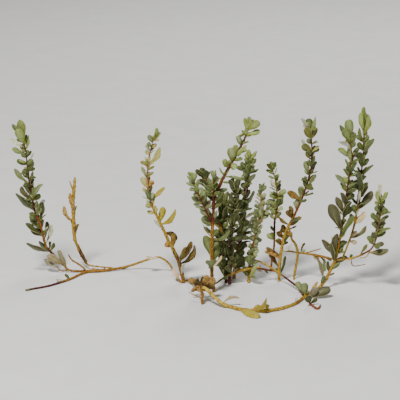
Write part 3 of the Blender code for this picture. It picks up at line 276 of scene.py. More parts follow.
    "shoot_small": layout("""
    271 268.6 5 1.5, 272.3 258 8 1.5, 274 247 12 1.5, 274.4 235 16 1.6, 274.6 222 20 1.6,
    276 214 23 1.5, 277.6 205 26 1.2, 277.2 197 29 1.1, 276.5 188 31 1, 275.3 180 33 0.9,
    273.5 173 35 0.8, 272 167.5 36 0.6""", """
    272.5 169 267 164 3.5 k, 272 168 271 161.5 4 y, 273 169 275.5 162 4 k, 273.5 172 266 170 3 g,
    274.5 178 277.8 175.5 4 g, 275.5 189 271 179.5 3 w, 276.5 192 280 183 4 d,
    276 196 273 192.5 4 d, 277.5 206 283 201.5 3.5 g, 277 207 268 200 6.5 g,
    277.5 207 279.5 198.5 5.5 g, 274 240 267 234 5 y, 274 238 271 232.5 4 y,
    274.5 232 270.5 226 3 g""",
    # This rule gives the pale young kind, as painted light that keeps these leaves mid green where
    # the clump shades them.
    (0, 0.46, 0.98, 6, 14, 8, "y", 35)),
    "creeping_stem_middle": layout("""
    215.9 283.4 -46 1.3, 220 280.5 -30 1.4, 225.2 277 -6.5 1.5, 228.6 275.3 -12.4 1.6,
    232 274 -12.2 1.6, 237 272.2 -9 1.6, 243 270.2 -7 1.6, 249.2 269 -6.2 1.6, 256 268.4 -3 1.5,
    263 269 2 1.5, 270 270.4 5 1.4, 276.6 271 6.2 1.3;
    236 272.4 -9 1.4, 236.2 270.8 8 1.4, 235.5 269.4 20.6 1.3""", """
    256 268.4 262 271.5 2 w, 254 268.5 261 266 2 t, 263 269 268 273 2 d, 221 280 228 276 2.5 g,
    232 274 226.5 266 5 d"""),
    "shoot_tall": layout("""
    279 282.1 g-1 2.1, 279 278.5 6.5 2.1, 279.4 266 7 2.2, 281.8 248 6 2.3, 284.9 234 5 2.2,
    288.5 226 4 2, 292.5 219 3 1.9, 297.3 209 1 1.7, 302 198.5 -1 1.5, 305.8 188 -3 1.4,
    308.6 178.6 -5 1.3, 310.6 171 -7 1.3, 311.6 162 -9 1.2, 311.8 153 -11 1.1, 311.7 144 -12 1,
    311 136 -13 0.9, 310 130 -14 0.7;
    288.3 226.6 4 1.5, 290.3 233 7 1.7, 292 239.5 9 1.8, 295.3 244 11 1.9, 297.3 250 12 1.9,
    297.6 257 14 1.9, 296 266 16 1.9, 294.2 276 17.5 1.8, 293.9 280.1 g-1 1.8""", """
    309 132 308.5 118.5 8 g, 306 129 302.5 118 2.5 w, 311 129 315.5 117.5 4.5 y,
    308 133 302.5 124.5 2 w, 313 139 316.5 127.5 5.5 k, 309.5 139.5 306 127.5 7 k,
    310 150 301.5 139.5 1.8 w, 311 151.5 302 145 7.5 k, 315 152 319.5 146 2.5 l,
    312 157 315 145.5 4 g, 310 160 306 151.5 4 k, 312 166 314.5 155.5 3 d,
    307 175 304 161.5 5.5 s, 311 177 314.5 164 4 o, 307.5 188 315.5 174.5 4 y,
    307 176 301 180 1.5 o, 301 199 301 186 7 s, 299.5 199 287.3 192 7 o, 296 211 298 199 6 s,
    292.5 219 288 210 7 o, 292 221 298.5 219.5 6 d, 288 224 276.5 214.5 3 o,
    285 239 277.5 231.5 6 o, 283 246 277 239 6 o, 286 234 281 228 5 o, 287 229 296.5 225.5 1.5 o,
    284.5 245 289 231.5 5 d, 279.5 258 264.5 251 3.4 t 1, 280.5 256 266.5 247 6 o 1,
    279 268 269 252.5 3 o 1.5, 280 276 285.5 256 1.8 d, 282 252 292.5 244 1.8 w""",
    (0, 0.5, 0.98, 12, 15, 8, "g", 25), (0, 0.28, 0.45, 14, 17, 8, "o", 30)),
    "side_stem": layout("""
    284.1 251 7.5 1.3, 290 251.3 14 1.3, 297.5 252.6 18 1.4, 305 253.6 13 1.5, 313 254.6 4 1.7,
    322 256.5 -8 1.8, 330 258.3 -17 1.6, 332.9 259 -20.5 1.4;
    303 253.4 14 0.9, 311 251.5 8 0.9, 321 248.6 3 0.8""", """
    313 257 323 276 5 v 1.5, 321 275 325.5 271.5 3 s, 301 252 305 243 2 o, 313 255 319 259 5 t,
    319 257 326 262.5 2 o, 302 252 304.5 249 3 s"""),
    "creeping_stem_right": layout("""
    253.5 259.2 3.5 1.1, 258 261 6 1.3, 263.7 263.3 4 1.4, 271.3 268 -2 1.5, 279 273 -5 1.5,
    284 276.6 -12 1.5, 293 283.4 -32 1.6, 298.5 288 -50 1.6, 302.6 293.3 -68 1.6""", """
    301 290.5 297 281.5 6 s"""),
    "shoot_right": layout("""
    299.64 300.7 g1.9 2.2, 303 297.8 g2.1 2.4, 308 294.5 g2.3 2.6, 314 291 g2.8 2.6,
    320 287 -38 2.5, 326 279 -30 2.4, 330 271 -26 2.3, 334 263 -23 2.2, 337 254 -21 2,
    339 244 -20 1.8, 341 232 -20 1.6, 343 220 -20 1.5, 345 208 -21 1.4, 346.5 197 -22 1.3,
    347.5 187 -24 1.2, 349.5 176 -26 1.1, 351 166 -28 1.1, 352.5 159 -29 1, 351.5 152 -30 0.9,
    351 145 -31 0.8, 350.3 138 -32 0.7;
    308.5 295.3 g2.4 1.2, 309.5 302.5 g1.6 1.5, 317 308.4 g1.7 1.6, 321 304.5 g2.4 0.8""", """
    309.5 303.5 307.5 296 8 d, 305.5 296.8 303.8 283 8.5 s, 309.5 297 317 287.5 6.5 v,
    312.5 296.5 330.5 288.5 9 m, 309 296 317.8 281.5 3.2 t, 304 297 302 293 3 o,
    322 286 324.5 276 4 d, 329.5 277 334.5 273 2 o, 329 273 328 261 4 d, 331.5 271 339.5 262 5 g,
    334.5 262 331 243 4 d, 334 258 322 239.5 5 m 1.5, 337.5 255 336 234 7 m,
    338 258 345 240.5 7 g, 336 248 331 236.5 3 w, 336 252 327 244 2.5 w, 343 240 354 216 5 g,
    343 240 346.5 224 3 d, 340 230 331 204 10 m, 340 229 337 219 4 y, 346 220 351 202 5 d,
    342.5 214 337 197 6 m, 344 207 341.5 192.5 5 m, 346 210 353 187.5 6 g,
    347 191 335.5 174.5 4 s, 347 185 343.5 176.5 3.5 y, 350 177 345.5 159 3 s,
    351 176 356.5 162 5 g, 352 160 357 151 4 m, 350 163 348.5 146 3.5 s, 352 158 338 150 5 y,
    351 150 338 141.5 2.2 w, 352 150 356 133 4 y, 352 137 348.5 119.5 9 y, 350 142 344.5 129 9 y,
    350 136 340 125 5 g""",
    (0, 0.3, 0.97, 12, 18, 9.5, "g", 25)),
    "shoot_right_tall": layout("""
    343.2 257 -22 1.4, 346.5 248 -21 1.5, 350 239 -19 1.5, 353 230 -16 1.6, 355.5 219 -13 1.6,
    357.3 208 -10 1.6, 358.8 197 -7 1.5, 360 187 -4 1.3, 360.8 177 -2 1.2, 362 167 0 1.1,
    363 155 2 1, 363.6 145 4 0.9, 364 136 6 0.8, 364 127 8 0.7""", """
    364 124 363.3 107 3 y, 363 130 360 113 6 y, 365 134 369.5 115.5 6 y, 364 137 364 112 5 y,
    363 141 359 128 4 y, 363.5 140 362 126 2 w, 364 152 368.5 137 4 y, 363.5 166 367 149 4 y,
    365 152 374 141 3.5 g, 362 168 359.5 152 6 g, 361 178.5 373.5 165 2.8 s,
    361.5 175 366.5 167 3 g, 358.5 198 358 171 6 g, 360 198 367 184.5 6 m, 357 210 372 191 7.5 m,
    358.5 205 360.5 191 2 w, 356 223 365 212 4.5 p, 355.5 224.5 366 214 4.5 p,
    351 238 366.5 226 1.8 m -1, 351 237 357 231.5 4 p, 349 241 357 243 4.5 p,
    356 217 358.8 209.5 2 w""",
    (0, 0.25, 0.97, 12, 17, 9, "g", 25)),
    "shoot_far_right": layout("""
    337 260.2 -22.5 1.5, 343 259.4 -22.5 1.6, 350 258.4 -24 1.6, 355.7 257.2 -26 1.5,
    363.3 253.8 -29 1.5, 370 250 -32 1.4, 373.5 245.5 -35 1.3, 376 239 -38 1.2, 377.8 231 -41 1.2,
    379.3 222 -44 1.1, 380.3 213 -46 1, 380.5 205 -48 0.9, 380.5 198 -49 0.7;
    352 258 -25 0.8, 351.5 262.5 -27 0.8, 354 266 -28 0.8, 365.5 264.3 -30 0.6;
    370.5 249.5 -32 0.8, 368 254.5 -35 0.7, 365 257.4 -36 0.7, 359.5 257.9 -36 0.6""", """
    380.4 196 380.4 183.8 1.5 w, 380 205 377.5 190.5 6 y, 381 203 387 192 4.5 y,
    381 208 383.5 197 6 g, 380 215 375 201 3 y, 380.5 217 391 212 2.5 y, 380 217 381.3 204 1.5 w,
    379 229 376.5 217.5 6 g, 379 229 384 218.5 4 g, 377.5 236 391 228 2.5 y,
    378 235 383 229.5 3 g, 375.5 243 373.5 231.5 5 s, 374 246.5 384 243.5 5 m,
    370 253 388.5 250.5 7 m, 359 253 367.5 244.5 2.5 k, 352 259 345 259.5 3 p,
    349 258.5 344 256.5 3 d""",
    (0, 0.4, 0.97, 13, 17, 9, "g", 25)),
}


def ring_faces(rings, sides):
    """The faces between rings of points, from the first ring to the last."""
    faces = []
    for i in range(rings - 1):
        for k in range(sides):
            a, b = i * sides + k, i * sides + (k + 1) % sides
            faces.append((a, b, b + sides, a + sides))
    return faces


def tube_faces(path):
    """A plain tube round a path, only for testing what comes near it."""
    points = []
    for i, (point, radius) in enumerate(path):
        before, after = path[max(i - 1, 0)][0], path[min(i + 1, len(path) - 1)][0]
        way = (after - before).normalized()
        side = way.orthogonal().normalized()
        other = way.cross(side)
        for k in range(SIDES):
            turn = 2 * math.pi * k / SIDES
            points.append(point + radius * (math.cos(turn) * side + math.sin(turn) * other))
    return points, ring_faces(len(path), SIDES)


def foot(stems, right, down):
    """The stem point that is seen nearest to a place, and its radius."""
    best = None
    for path in stems:
        for (start, r0), (end, r1) in zip(path, path[1:]):
            sx, sy = seen(start)
            ex, ey = seen(end)
            span = (ex - sx) ** 2 + (ey - sy) ** 2
            share = ((right - sx) * (ex - sx) + (down - sy) * (ey - sy)) / max(span, 1e-9)
            length = (end - start).length
            first = 1.5 * r0 / length if start is path[0][0] else 0.0
            last = 1.0 - (2.5 * r1 / length if end is path[-1][0] else 0.0)
            share = max(min(share, last), first)
            off = math.hypot(sx + share * (ex - sx) - right, sy + share * (ey - sy) - down)
            if best is None or off < best[0]:
                best = (off, start.lerp(end, share), r0 + share * (r1 - r0))
    return best[1], best[2]


def along(path, share):
    """The point, direction and radius at a share of a path's length."""
    spans = [(b[0] - a[0]).length for a, b in zip(path, path[1:])]
    left = share * sum(spans)
    for (a, ra), (b, rb), span in zip(path, path[1:], spans):
        if left <= span:
            part = left / span
            return a.lerp(b, part), (b - a).normalized(), ra + part * (rb - ra)
        left -= span
    return path[-1][0], (path[-1][0] - path[-2][0]).normalized(), path[-1][1]


def ball(around, stops):
    """A sphere's vertices as (share of a leaf's length, turn), and its faces."""
    bm = bmesh.new()
    bmesh.ops.create_uvsphere(bm, u_segments=around, v_segments=len(stops) + 1, radius=1.0)
    rings = (0.0, *stops, 1.0)
    places = []
    for v in bm.verts:
        ring = round(math.acos(max(-1.0, min(1.0, -v.co.z))) / math.pi * (len(stops) + 1))
        places.append((rings[ring], math.atan2(v.co.y, v.co.x)))
    faces = [[v.index for v in f.verts] for f in bm.faces]
    bm.free()
    return places, faces


def blade(t):
    """The width of a spoon-shaped blade, as a share of its widest.

    It widens over the first two thirds of its length and rounds off over the rest.
    """
    if t <= 0.0 or t >= 1.0:
        return 0.0
    rise = NECK + (1 - NECK) * math.sin(math.pi / 2 * min(max((t - 0.03) / 0.6, 0.0), 1.0)) ** 1.3
    return rise * (1 - max(0.0, (t - 0.62) / 0.38) ** 2.6) ** 0.45


def leaf_points(leaf, places, wider=0.0, thicker=0.0):
    """A sphere drawn out into a spoon-shaped blade that starts in its stem."""
    reach = leaf["tip"] - leaf["base"]
    side = leaf["side"]
    face = side.cross(reach).normalized()
    long = reach.length
    points = []
    for t, turn in places:
        half = blade(t) * (leaf["width"] / 2 + wider)
        thick = math.sqrt(blade(t)) * (LEAF_THICK / 2 + thicker)
        bow = 4 * t * (1 - t)
        points.append(leaf["base"] + reach * t + face * (bow * leaf["cup"] * long)
                      + leaf["bow"] * bow + side * (math.cos(turn) * half)
                      + face * (math.sin(turn) * thick))
    return points


TEST_BALL = ball(4, (0.05, 0.5, 0.85))


def ball_round(points):
    """The middle of some points, and the furthest of them from it."""
    middle = sum(points, Vector()) / len(points)
    return middle, max((p - middle).length for p in points)


class Garden:
    """What has been placed, so that what comes next can keep clear of it."""

    def __init__(self):
        self.things = []

    def add(self, node, points, faces):
        self.things.append((node, *ball_round(points), BVHTree.FromPolygons(points, faces)))

    def free(self, node, points, faces, own):
        """Whether a blade is clear of other nodes, and of its own if asked."""
        if min(p.z for p in points) < LOWEST:
            return False
        middle, reach = ball_round(points)
        tree = None
        for other, centre, radius, there in self.things:
            if other == node and not own:
                continue
            if (centre - middle).length > radius + reach:
                continue
            tree = tree or BVHTree.FromPolygons(points, faces)
            if tree.overlap(there):
                return False
        return True


def try_leaf(garden, node, leaf, own):
    return garden.free(node, leaf_points(leaf, TEST_BALL[0], CLEAR, CLEAR), TEST_BALL[1], own)


def keep(garden, node, leaf, leaves):
    garden.add(node, leaf_points(leaf, TEST_BALL[0]), TEST_BALL[1])
    leaves.append(leaf)


def rolled(reach, turn):
    """A blade's sideways direction, rolled from facing the front."""
    side = reach.cross(AHEAD).normalized()
    return math.cos(turn) * side + math.sin(turn) * side.cross(reach).normalized()


def read_leaf(garden, node, stems, row, dice, leaves):
    """Places a leaf read from the front, at the first free lean to the back."""
    bx, by, tx, ty, wide = (float(v) for v in row[:5])
    kind = row[5]
    bulge = float(row[6]) if len(row) > 6 else 0.0
    base, radius = foot(stems, bx, by)
    tip_flat = at(tx, ty, base.y)[0]
    flat = (tip_flat - base).length
    wide *= STEP
    if wide > ROUND_LOOK * flat:
        long = max(ROUND_LONG * wide, flat)
        lean = -math.sqrt(max(long * long - flat * flat, 0.0))
    else:
        lean = dice.choice((-1, 1)) * dice.uniform(*LEAN) * flat
    turn_way = dice.choice((-1, 1))
    cup = dice.uniform(0.03, 0.09) * dice.choice((-1, 1))
    narrowest = DRY_NARROWEST if kind in DRY else NARROWEST
    limit = max(1.5 * flat, abs(lean) + 1, 14.0)
    for own in (True, False):
        for size in SIZES:
            for shift in SHIFTS:
                back = lean + shift
                if abs(back) > limit:
                    continue
                tip = base.lerp(at(tx, ty, base.y + back)[0], size)
                reach = tip - base
                if reach.length < 3 * radius:
                    continue
                real = max(wide, narrowest * reach.length) * size
                turn = turn_way * min(math.acos(min(wide * size / real, 1.0)), MOST_ROLL)
                leaf = dict(base=base, tip=tip, side=rolled(reach, turn), width=real, cup=cup,
                            kind=kind, bow=reach.cross(AHEAD).normalized() * (bulge * STEP))
                if try_leaf(garden, node, leaf, own):
                    keep(garden, node, leaf, leaves)
                    return


def fill_leaves(garden, node, path, spec, dice, leaves):
    """Opposite pairs, each turned across the last, and beside the stem from the front."""
    _, start, end, gap, long, wide, kind, spread = spec
    length = sum((b[0] - a[0]).length for a, b in zip(path, path[1:]))
    count = max(1, round((end - start) * length / gap))
    for i in range(count):
        share = start + (end - start) * (i + 0.5) / count
        base, way, radius = along(path, share)
        front = (-AHEAD - way * (-AHEAD).dot(way)).normalized()
        across = way.cross(front)
        small = 1.0 - SMALLER_BY * max(0.0, share - SMALLER_FROM) / (1.0 - SMALLER_FROM)
        for half in (0, 1):
            facing = math.pi * (half + (1 + i % 2) / 3)
            placed = False
            for size in RULE_SIZES:
                for _ in range(RULE_TRIES):
                    turn = facing + math.radians(dice.uniform(-1, 1) * spread)
                    out = math.cos(turn) * front + math.sin(turn) * across
                    lift = math.radians(dice.uniform(*RISE))
                    reach = math.cos(lift) * way + math.sin(lift) * out
                    reach *= long * size * small * dice.uniform(*VARIES)
                    side = way.cross(out).normalized()
                    if dice.random() < TURNED:
                        side = rolled(reach, math.radians(dice.uniform(-RULE_ROLL, RULE_ROLL)))
                    leaf = dict(base=base, tip=base + reach, side=side, width=wide * size * small,
                                cup=dice.uniform(-0.1, 0.04), kind=kind, bow=Vector())
                    if placed or reach.length <= 3 * radius:
                        continue
                    if try_leaf(garden, node, leaf, True):
                        keep(garden, node, leaf, leaves)
                        placed = True


def grow():
    """The leaves of each node, clear of the other nodes, and all that was placed."""
    garden = Garden()
    for node, plan in PLANT.items():
        for path in plan["stems"]:
            garden.add(node, *tube_faces(path))
    stem_trees = list(garden.things)
    plants = {node: [] for node in PLANT}
    for number, (node, plan) in enumerate(PLANT.items()):
        dice = random.Random(100 + number)
        # A leaf starts inside its own stem, so its own stems aren't tested.
        garden.things = [t for t in garden.things if t[0] != node]
        for row in plan["leaves"]:
            read_leaf(garden, node, plan["stems"], row, dice, plants[node])
        garden.things += [t for t in stem_trees if t[0] == node]
    for number, (node, plan) in enumerate(PLANT.items()):
        dice = random.Random(500 + number)
        own_stems = [t for t in stem_trees if t[0] == node]
        garden.things = [t for t in garden.things if t not in own_stems]
        for spec in plan["fills"]:
            fill_leaves(garden, node, plan["stems"][spec[0]], spec, dice, plants[node])
        garden.things += own_stems
    return plants, garden


# Colours as red, green and blue on a screen. Leaves by their kind, each with how silvery its
# middle is: their mealy silver, laid on the middle of the blade partly as a painted highlight.
LEAF_COLOURS = {
    "y": ((130, 147, 54), 0.34), "l": ((186, 174, 92), 0.25), "h": ((174, 152, 34), 0.06),
    "k": ((108, 108, 30), 0.1), "g": ((76, 92, 20), 0.16), "s": ((114, 128, 74), 0.44),
    # d is dark green, and is also painted shade for the leaves deep in the clump.
    "d": ((60, 70, 14), 0.06), "m": ((82, 74, 40), 0.12), "v": ((138, 124, 102), 0.2),
    # w is a leaf seen edge-on, painted near white as a highlight.
    "w": ((222, 222, 206), 0.0), "p": ((236, 208, 172), 0.0), "o": ((124, 98, 16), 0.0),
    "t": ((206, 160, 76), 0.0),
}
BARK_COLOURS = {
    "pale": (222, 190, 70), "straw": (202, 164, 40), "ochre": (168, 118, 20),
    "orange": (154, 82, 12), "red": (118, 36, 18), "maroon": (88, 22, 24),
    "green": (120, 118, 36), "tan": (196, 146, 92), "brown": (108, 74, 18),
    "mauve": (146, 96, 88),
}
# Which way a node's bark changes colour as seen from the front, and where.
BARK = {
    "creeping_stem_left": "right: 25 green, 31 maroon, 58 maroon, 66 ochre, "
                          "110 ochre, 160 straw, 181 ochre",
    "shoot_left": "down: 130 green, 150 maroon, 212 maroon, 220 orange, 246 ochre, "
                  "250 maroon, 256 brown, 262 ochre, 270 ochre",
    "shoot_dry": "down: 180 straw, 243 straw, 250 brown, 260 brown, 266 straw",
    "shoot_second": "down: 130 green, 142 mauve, 166 mauve, 176 tan, 205 ochre, "
                    "222 straw, 246 straw, 258 brown, 283 ochre",
    "crown": "down: 275 brown, 288 brown, 294 ochre, 305 ochre",
    "creeping_stem_front": "right: 204 pale, 216 pale, 240 straw, 290 straw, 300 ochre",
    "shoot_front": "down: 128 green, 140 maroon, 163 maroon, 174 brown, 187 orange, "
                   "195 red, 221 red, 227 ochre, 292 ochre",
    "shoot_dark_low": "down: 195 red, 270 maroon, 283 red",
    "shoot_dark": "down: 190 brown, 215 maroon, 283 maroon",
    "shoot_middle": "down: 158 green, 184 mauve, 204 mauve, 212 maroon, 240 red, "
                    "250 orange, 262 orange, 267 tan",
    "shoot_fine": "down: 188 green, 200 tan, 232 tan, 244 orange, 258 orange, 270 ochre, "
                  "283 straw",
    "shoot_small": "down: 168 green, 200 orange, 212 red, 232 maroon, 240 brown, "
                   "268 orange",
    "creeping_stem_middle": "right: 215 green, 226 green, 236 ochre, 245 straw, 257 orange, "
                            "263 red, 272 orange, 276 ochre",
    "shoot_tall": "down: 130 maroon, 178 maroon, 200 red, 214 orange, 230 straw, 283 straw",
    "side_stem": "right: 283 straw, 330 ochre",
    "creeping_stem_right": "right: 253 straw, 280 straw, 285 maroon, 303 maroon",
    "shoot_right": "down: 140 green, 152 maroon, 196 maroon, 214 brown, 236 ochre, "
                   "297 straw, 303 orange",
    "shoot_right_tall": "down: 126 green, 138 maroon, 178 maroon, 196 ochre, 250 straw",
    "shoot_far_right": "down: 198 green, 210 maroon, 226 mauve, 246 mauve, "
                       "252 orange, 258 straw, 263 mauve",
}
# How uneven a stem is, where it is more so than a young one.
KNOBBY = {"shoot_dry": 0.22, "crown": 0.18, "creeping_stem_front": 0.12, "shoot_second": 0.1}
YOUNG_STEM = 0.06
# How bright a node's leaves are, where they are darker than their kind.
LEAF_LIGHT = {"crown": 0.6}

# Each leaf's ball has this many points round it, on rings at these shares of its length.
AROUND = 16
STOPS = (0.02, 0.06, 0.13, 0.22, 0.32, 0.43, 0.54, 0.64, 0.73, 0.81, 0.88, 0.935, 0.975, 0.994)
FINE_BALL = ball(AROUND, STOPS)
# How much living and dry leaves fold along the middle, twist, wave and keep of their
# thickness, how much more the golden ones fold, and how crumpled dry ones are.
LIVING = dict(fold=(0.05, 0.34), twist=0.22, wave=0.13, thick=1.0)
DRIED = dict(fold=(0.35, 0.7), twist=1.0, wave=0.16, thick=0.6)
GOLDEN_FOLD = 0.25
CRUMPLE = 0.7
# The rib along the middle: its height, and its width as a share of half the blade.
RIB_HIGH = 0.3
RIB_WIDE = 0.3

# Leaves of these kinds and this long have small ones in the angle with their stem.
AXIL_KINDS = "ylgsd"
AXIL_FROM = 13.0
AXIL_LONGEST = 20.0
AXIL_TRIES = 1
# Where the shoots stand closest, small leaves point every way. One stem has none.
BUSHY = ("shoot_dark_low", "shoot_dark", "shoot_middle", "shoot_fine")
BUSHY_TRIES = 4
BARE = "creeping_stem_right"
# Stems that end this thin have a tuft of the kinds of leaves that grow near the tip.
TUFT_BELOW = 1.0
TUFT_NEAR = 12.0
TUFT_LEAVES = 6
TUFT_LONG = (5.5, 10.0)
TUFT_TURN = 2.4
TUFT_GAP = 0.9

# A fine stem's sides, and how far apart its rings of points are.
STEM_SIDES = 12
STEM_PACE = 1.5
# Ends at least this thick and high, and this near to another node's stem, run on into it.
JOIN_THICK = 1.1
JOIN_LOWEST = -0.5
JOIN_GAP = 5.0
# Stems swell at joints about this far apart, by this share and over this length. A
# darker ring lies beside each joint, and a stem's last ring of points is smaller.
JOINT_GAP = 9.0
JOINT_SWELL = 0.16
JOINT_LONG = 0.9
RING_OFF, RING_LONG, RING_DARK = 1.2, 0.5, 0.25
TIP_THIN = 0.6

FLOOR_RADIUS = 20.0
FLOOR_BELOW = 0.0003
SENSOR = 36.0
# Each lamp's place, size and power. All point at the middle of the plant.
LAMPS = {
    "key": ((-0.8, -1.6, 2.7), 0.7, 120.0),
    "fill": ((2.2, -1.8, 1.2), 2.0, 8.0),
    "back": ((0.6, 2.2, 1.8), 1.2, 30.0),
}
LIT = Vector((0.0, 0.0, 0.12))
WORLD_LIGHT = 0.17


def linear(colour):
    """A screen colour as the light that Blender reckons with."""
    return Vector([((c / 255 + 0.055) / 1.055) ** 2.4 if c > 10 else c / 3295 for c in colour])


class Piece:
    """A mesh in the making, with a colour and a place on its part per point."""

    def __init__(self):
        self.points, self.faces, self.tints, self.spots = [], [], [], []

    def add(self, points, faces, tints, spots):
        first = len(self.points)
        self.points += points
        self.faces += [[first + i for i in face] for face in faces]
        self.tints += tints
        self.spots += spots

    def build(self, name, node, material):
        mesh = bpy.data.meshes.new(name)
        points = [(p - MIDDLE) * 0.001 for p in self.points]
        mesh.from_pydata([(p.x, p.y, max(p.z, 0.0)) for p in points], [], self.faces)
        tint = mesh.attributes.new("tint", "FLOAT_COLOR", "POINT")
        tint.data.foreach_set("color", [c for t in self.tints for c in t])
        spot = mesh.attributes.new("spot", "FLOAT_VECTOR", "POINT")
        spot.data.foreach_set("vector", [c for s in self.spots for c in s])
        mesh.polygons.foreach_set("use_smooth", [True] * len(mesh.polygons))
        mesh.materials.append(material)
        thing = bpy.data.objects.new(name, mesh)
        bpy.context.collection.objects.link(thing)
        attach(thing, "root")
        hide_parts(node)


def fine_leaf(piece, node, leaf, dice):
    """A fleshy blade with a rib below, or a shrunken one where it is dry."""
    reach = leaf["tip"] - leaf["base"]
    dry = leaf["kind"] in DRY
    form = DRIED if dry else LIVING
    fold = dice.uniform(*form["fold"]) + (GOLDEN_FOLD if leaf["kind"] == "h" else 0.0)
    twist = dice.uniform(-form["twist"], form["twist"])
    phase = dice.uniform(0, 2 * math.pi)
    face = leaf["side"].cross(reach).normalized()
    colour, silver_and_highlight = LEAF_COLOURS[leaf["kind"]]
    colour = linear(colour) * (LEAF_LIGHT.get(node, 1.0) * dice.uniform(0.78, 1.25))
    tint = (colour.x * dice.uniform(0.92, 1.08), colour.y, colour.z * dice.uniform(0.85, 1.15),
            silver_and_highlight * dice.uniform(0.4, 1.3))
    points, tints, spots = [], [], []
    for t, turn in FINE_BALL[0]:
        bend = twist * (t - 0.3)
        side = math.cos(bend) * leaf["side"] + math.sin(bend) * face
        up = math.cos(bend) * face - math.sin(bend) * leaf["side"]
        across, over = math.cos(turn), math.sin(turn)
        half = blade(t) * leaf["width"] / 2
        high = over * math.sqrt(blade(t)) * LEAF_THICK / 2 * form["thick"]
        rib = math.exp(-(across / RIB_WIDE) ** 2) * (1 - t)
        high -= rib * RIB_HIGH * (1.0 if over < 0 else 0.5)
        high += half * fold * (across * across - 0.3)
        high += half * form["wave"] * math.sin(9 * t + phase + 2 * across) * across * across
        if dry:
            high += half * CRUMPLE * noise.noise(Vector((1.6 * across, 5 * t, phase)))
        bow = 4 * t * (1 - t)
        points.append(leaf["base"] + reach * t + face * (bow * leaf["cup"] * reach.length)
                      + leaf["bow"] * bow + side * (across * half) + up * high)
        tints.append(tint)
        spots.append((t, across, over))
    piece.add(points, FINE_BALL[1], tints, spots)


def nearest(paths, place):
    """How far the nearest stem is, the place on it, its direction and radius."""
    best = None
    for path in paths:
        for (start, r0), (end, r1) in zip(path, path[1:]):
            way = end - start
            share = min(max((place - start).dot(way) / way.length_squared, 0.0), 1.0)
            spot = start + way * share
            off = (spot - place).length
            if best is None or off < best[0]:
                best = (off, spot, way.normalized(), r0 + share * (r1 - r0))
    return best


def led_on(node, route):
    """A route whose ends run on into the other nodes' stems that they grow from."""
    others = [path for other, plan in PLANT.items() if other != node for path in plan["stems"]]
    longer = list(route)
    for end in (0, -1):
        point, radius = route[end]
        off, spot, _, thick = nearest(others, point)
        if radius >= JOIN_THICK and point.z > JOIN_LOWEST and thick < off < thick + JOIN_GAP:
            longer.insert(0 if end == 0 else len(longer), (spot, radius))
    return longer


def small_leaves(garden, node, leaves, dice):
    """Little leaves in the angles of the bigger ones, and a tuft at each tip."""
    paths = PLANT[node]["stems"]
    asked = []
    for leaf in leaves:
        reach = leaf["tip"] - leaf["base"]
        if leaf["kind"] not in AXIL_KINDS or reach.length < AXIL_FROM:
            continue
        way = nearest(paths, leaf["base"])[2]
        for _ in range(BUSHY_TRIES if node in BUSHY else AXIL_TRIES):
            lean = dice.uniform(0.1, 0.9)
            swing = Vector([dice.uniform(-0.7, 0.7) for _ in range(3)])
            if node not in BUSHY:
                swing.y = abs(swing.y)
            out = (way * lean + reach.normalized() * (1 - lean) + swing).normalized()
            asked.append((leaf["base"] + way * dice.uniform(0.0, 2.5), out,
                          min(reach.length, AXIL_LONGEST) * dice.uniform(0.45, 0.8), leaf["kind"]))
    for path in paths:
        tip, radius = path[-1]
        if radius > TUFT_BELOW or not leaves:
            continue
        way = (tip - path[-2][0]).normalized()
        kinds = [leaf["kind"] for leaf in leaves
                 if (leaf["base"] - tip).length < TUFT_NEAR and leaf["kind"] in AXIL_KINDS]
        for i in range(TUFT_LEAVES if kinds else 0):
            turn = i * TUFT_TURN
            side = way.orthogonal().normalized()
            round_it = math.cos(turn) * side + math.sin(turn) * way.cross(side)
            out = (way + round_it * dice.uniform(0.25, 0.6)).normalized()
            asked.append((tip - way * (1 + TUFT_GAP * i), out,
                          dice.uniform(*TUFT_LONG), dice.choice(kinds)))
    for base, out, long, kind in asked:
        leaf = dict(base=base, tip=base + out * long, side=rolled(out, dice.uniform(-1.2, 1.2)),
                    width=long * dice.uniform(0.45, 0.62), cup=dice.uniform(-0.08, 0.08),
                    kind=kind, bow=Vector())
        if try_leaf(garden, node, leaf, False):
            leaves.append(leaf)


def smooth_route(route):
    """Points and radii close together on a smooth curve through a route."""
    knots = [Vector((*point, radius)) for point, radius in route]
    knots = [2 * knots[0] - knots[1], *knots, 2 * knots[-1] - knots[-2]]
    line = []
    for a, b, c, d in zip(knots, knots[1:], knots[2:], knots[3:]):
        count = max(1, round((c.xyz - b.xyz).length / STEM_PACE))
        for i in range(count):
            t = i / count
            line.append(0.5 * (2 * b + (c - a) * t + (2 * a - 5 * b + 4 * c - d) * t ** 2
                               + (3 * b - a - 3 * c + d) * t ** 3))
    line.append(knots[-2])
    return [(knot.xyz, knot.w) for knot in line]


def bark_at(node, point):
    """The bark's colour at a place, from its node's stops."""
    axis, stops = BARK[node].split(": ")
    spot = seen(point)[("right", "down").index(axis)]
    last = None
    for stop in stops.split(", "):
        place, name = stop.split()
        place, ahead = float(place), linear(BARK_COLOURS[name])
        if spot < place:
            return ahead if last is None else colour.lerp(ahead, (spot - last) / (place - last))
        last, colour = place, ahead
    return colour


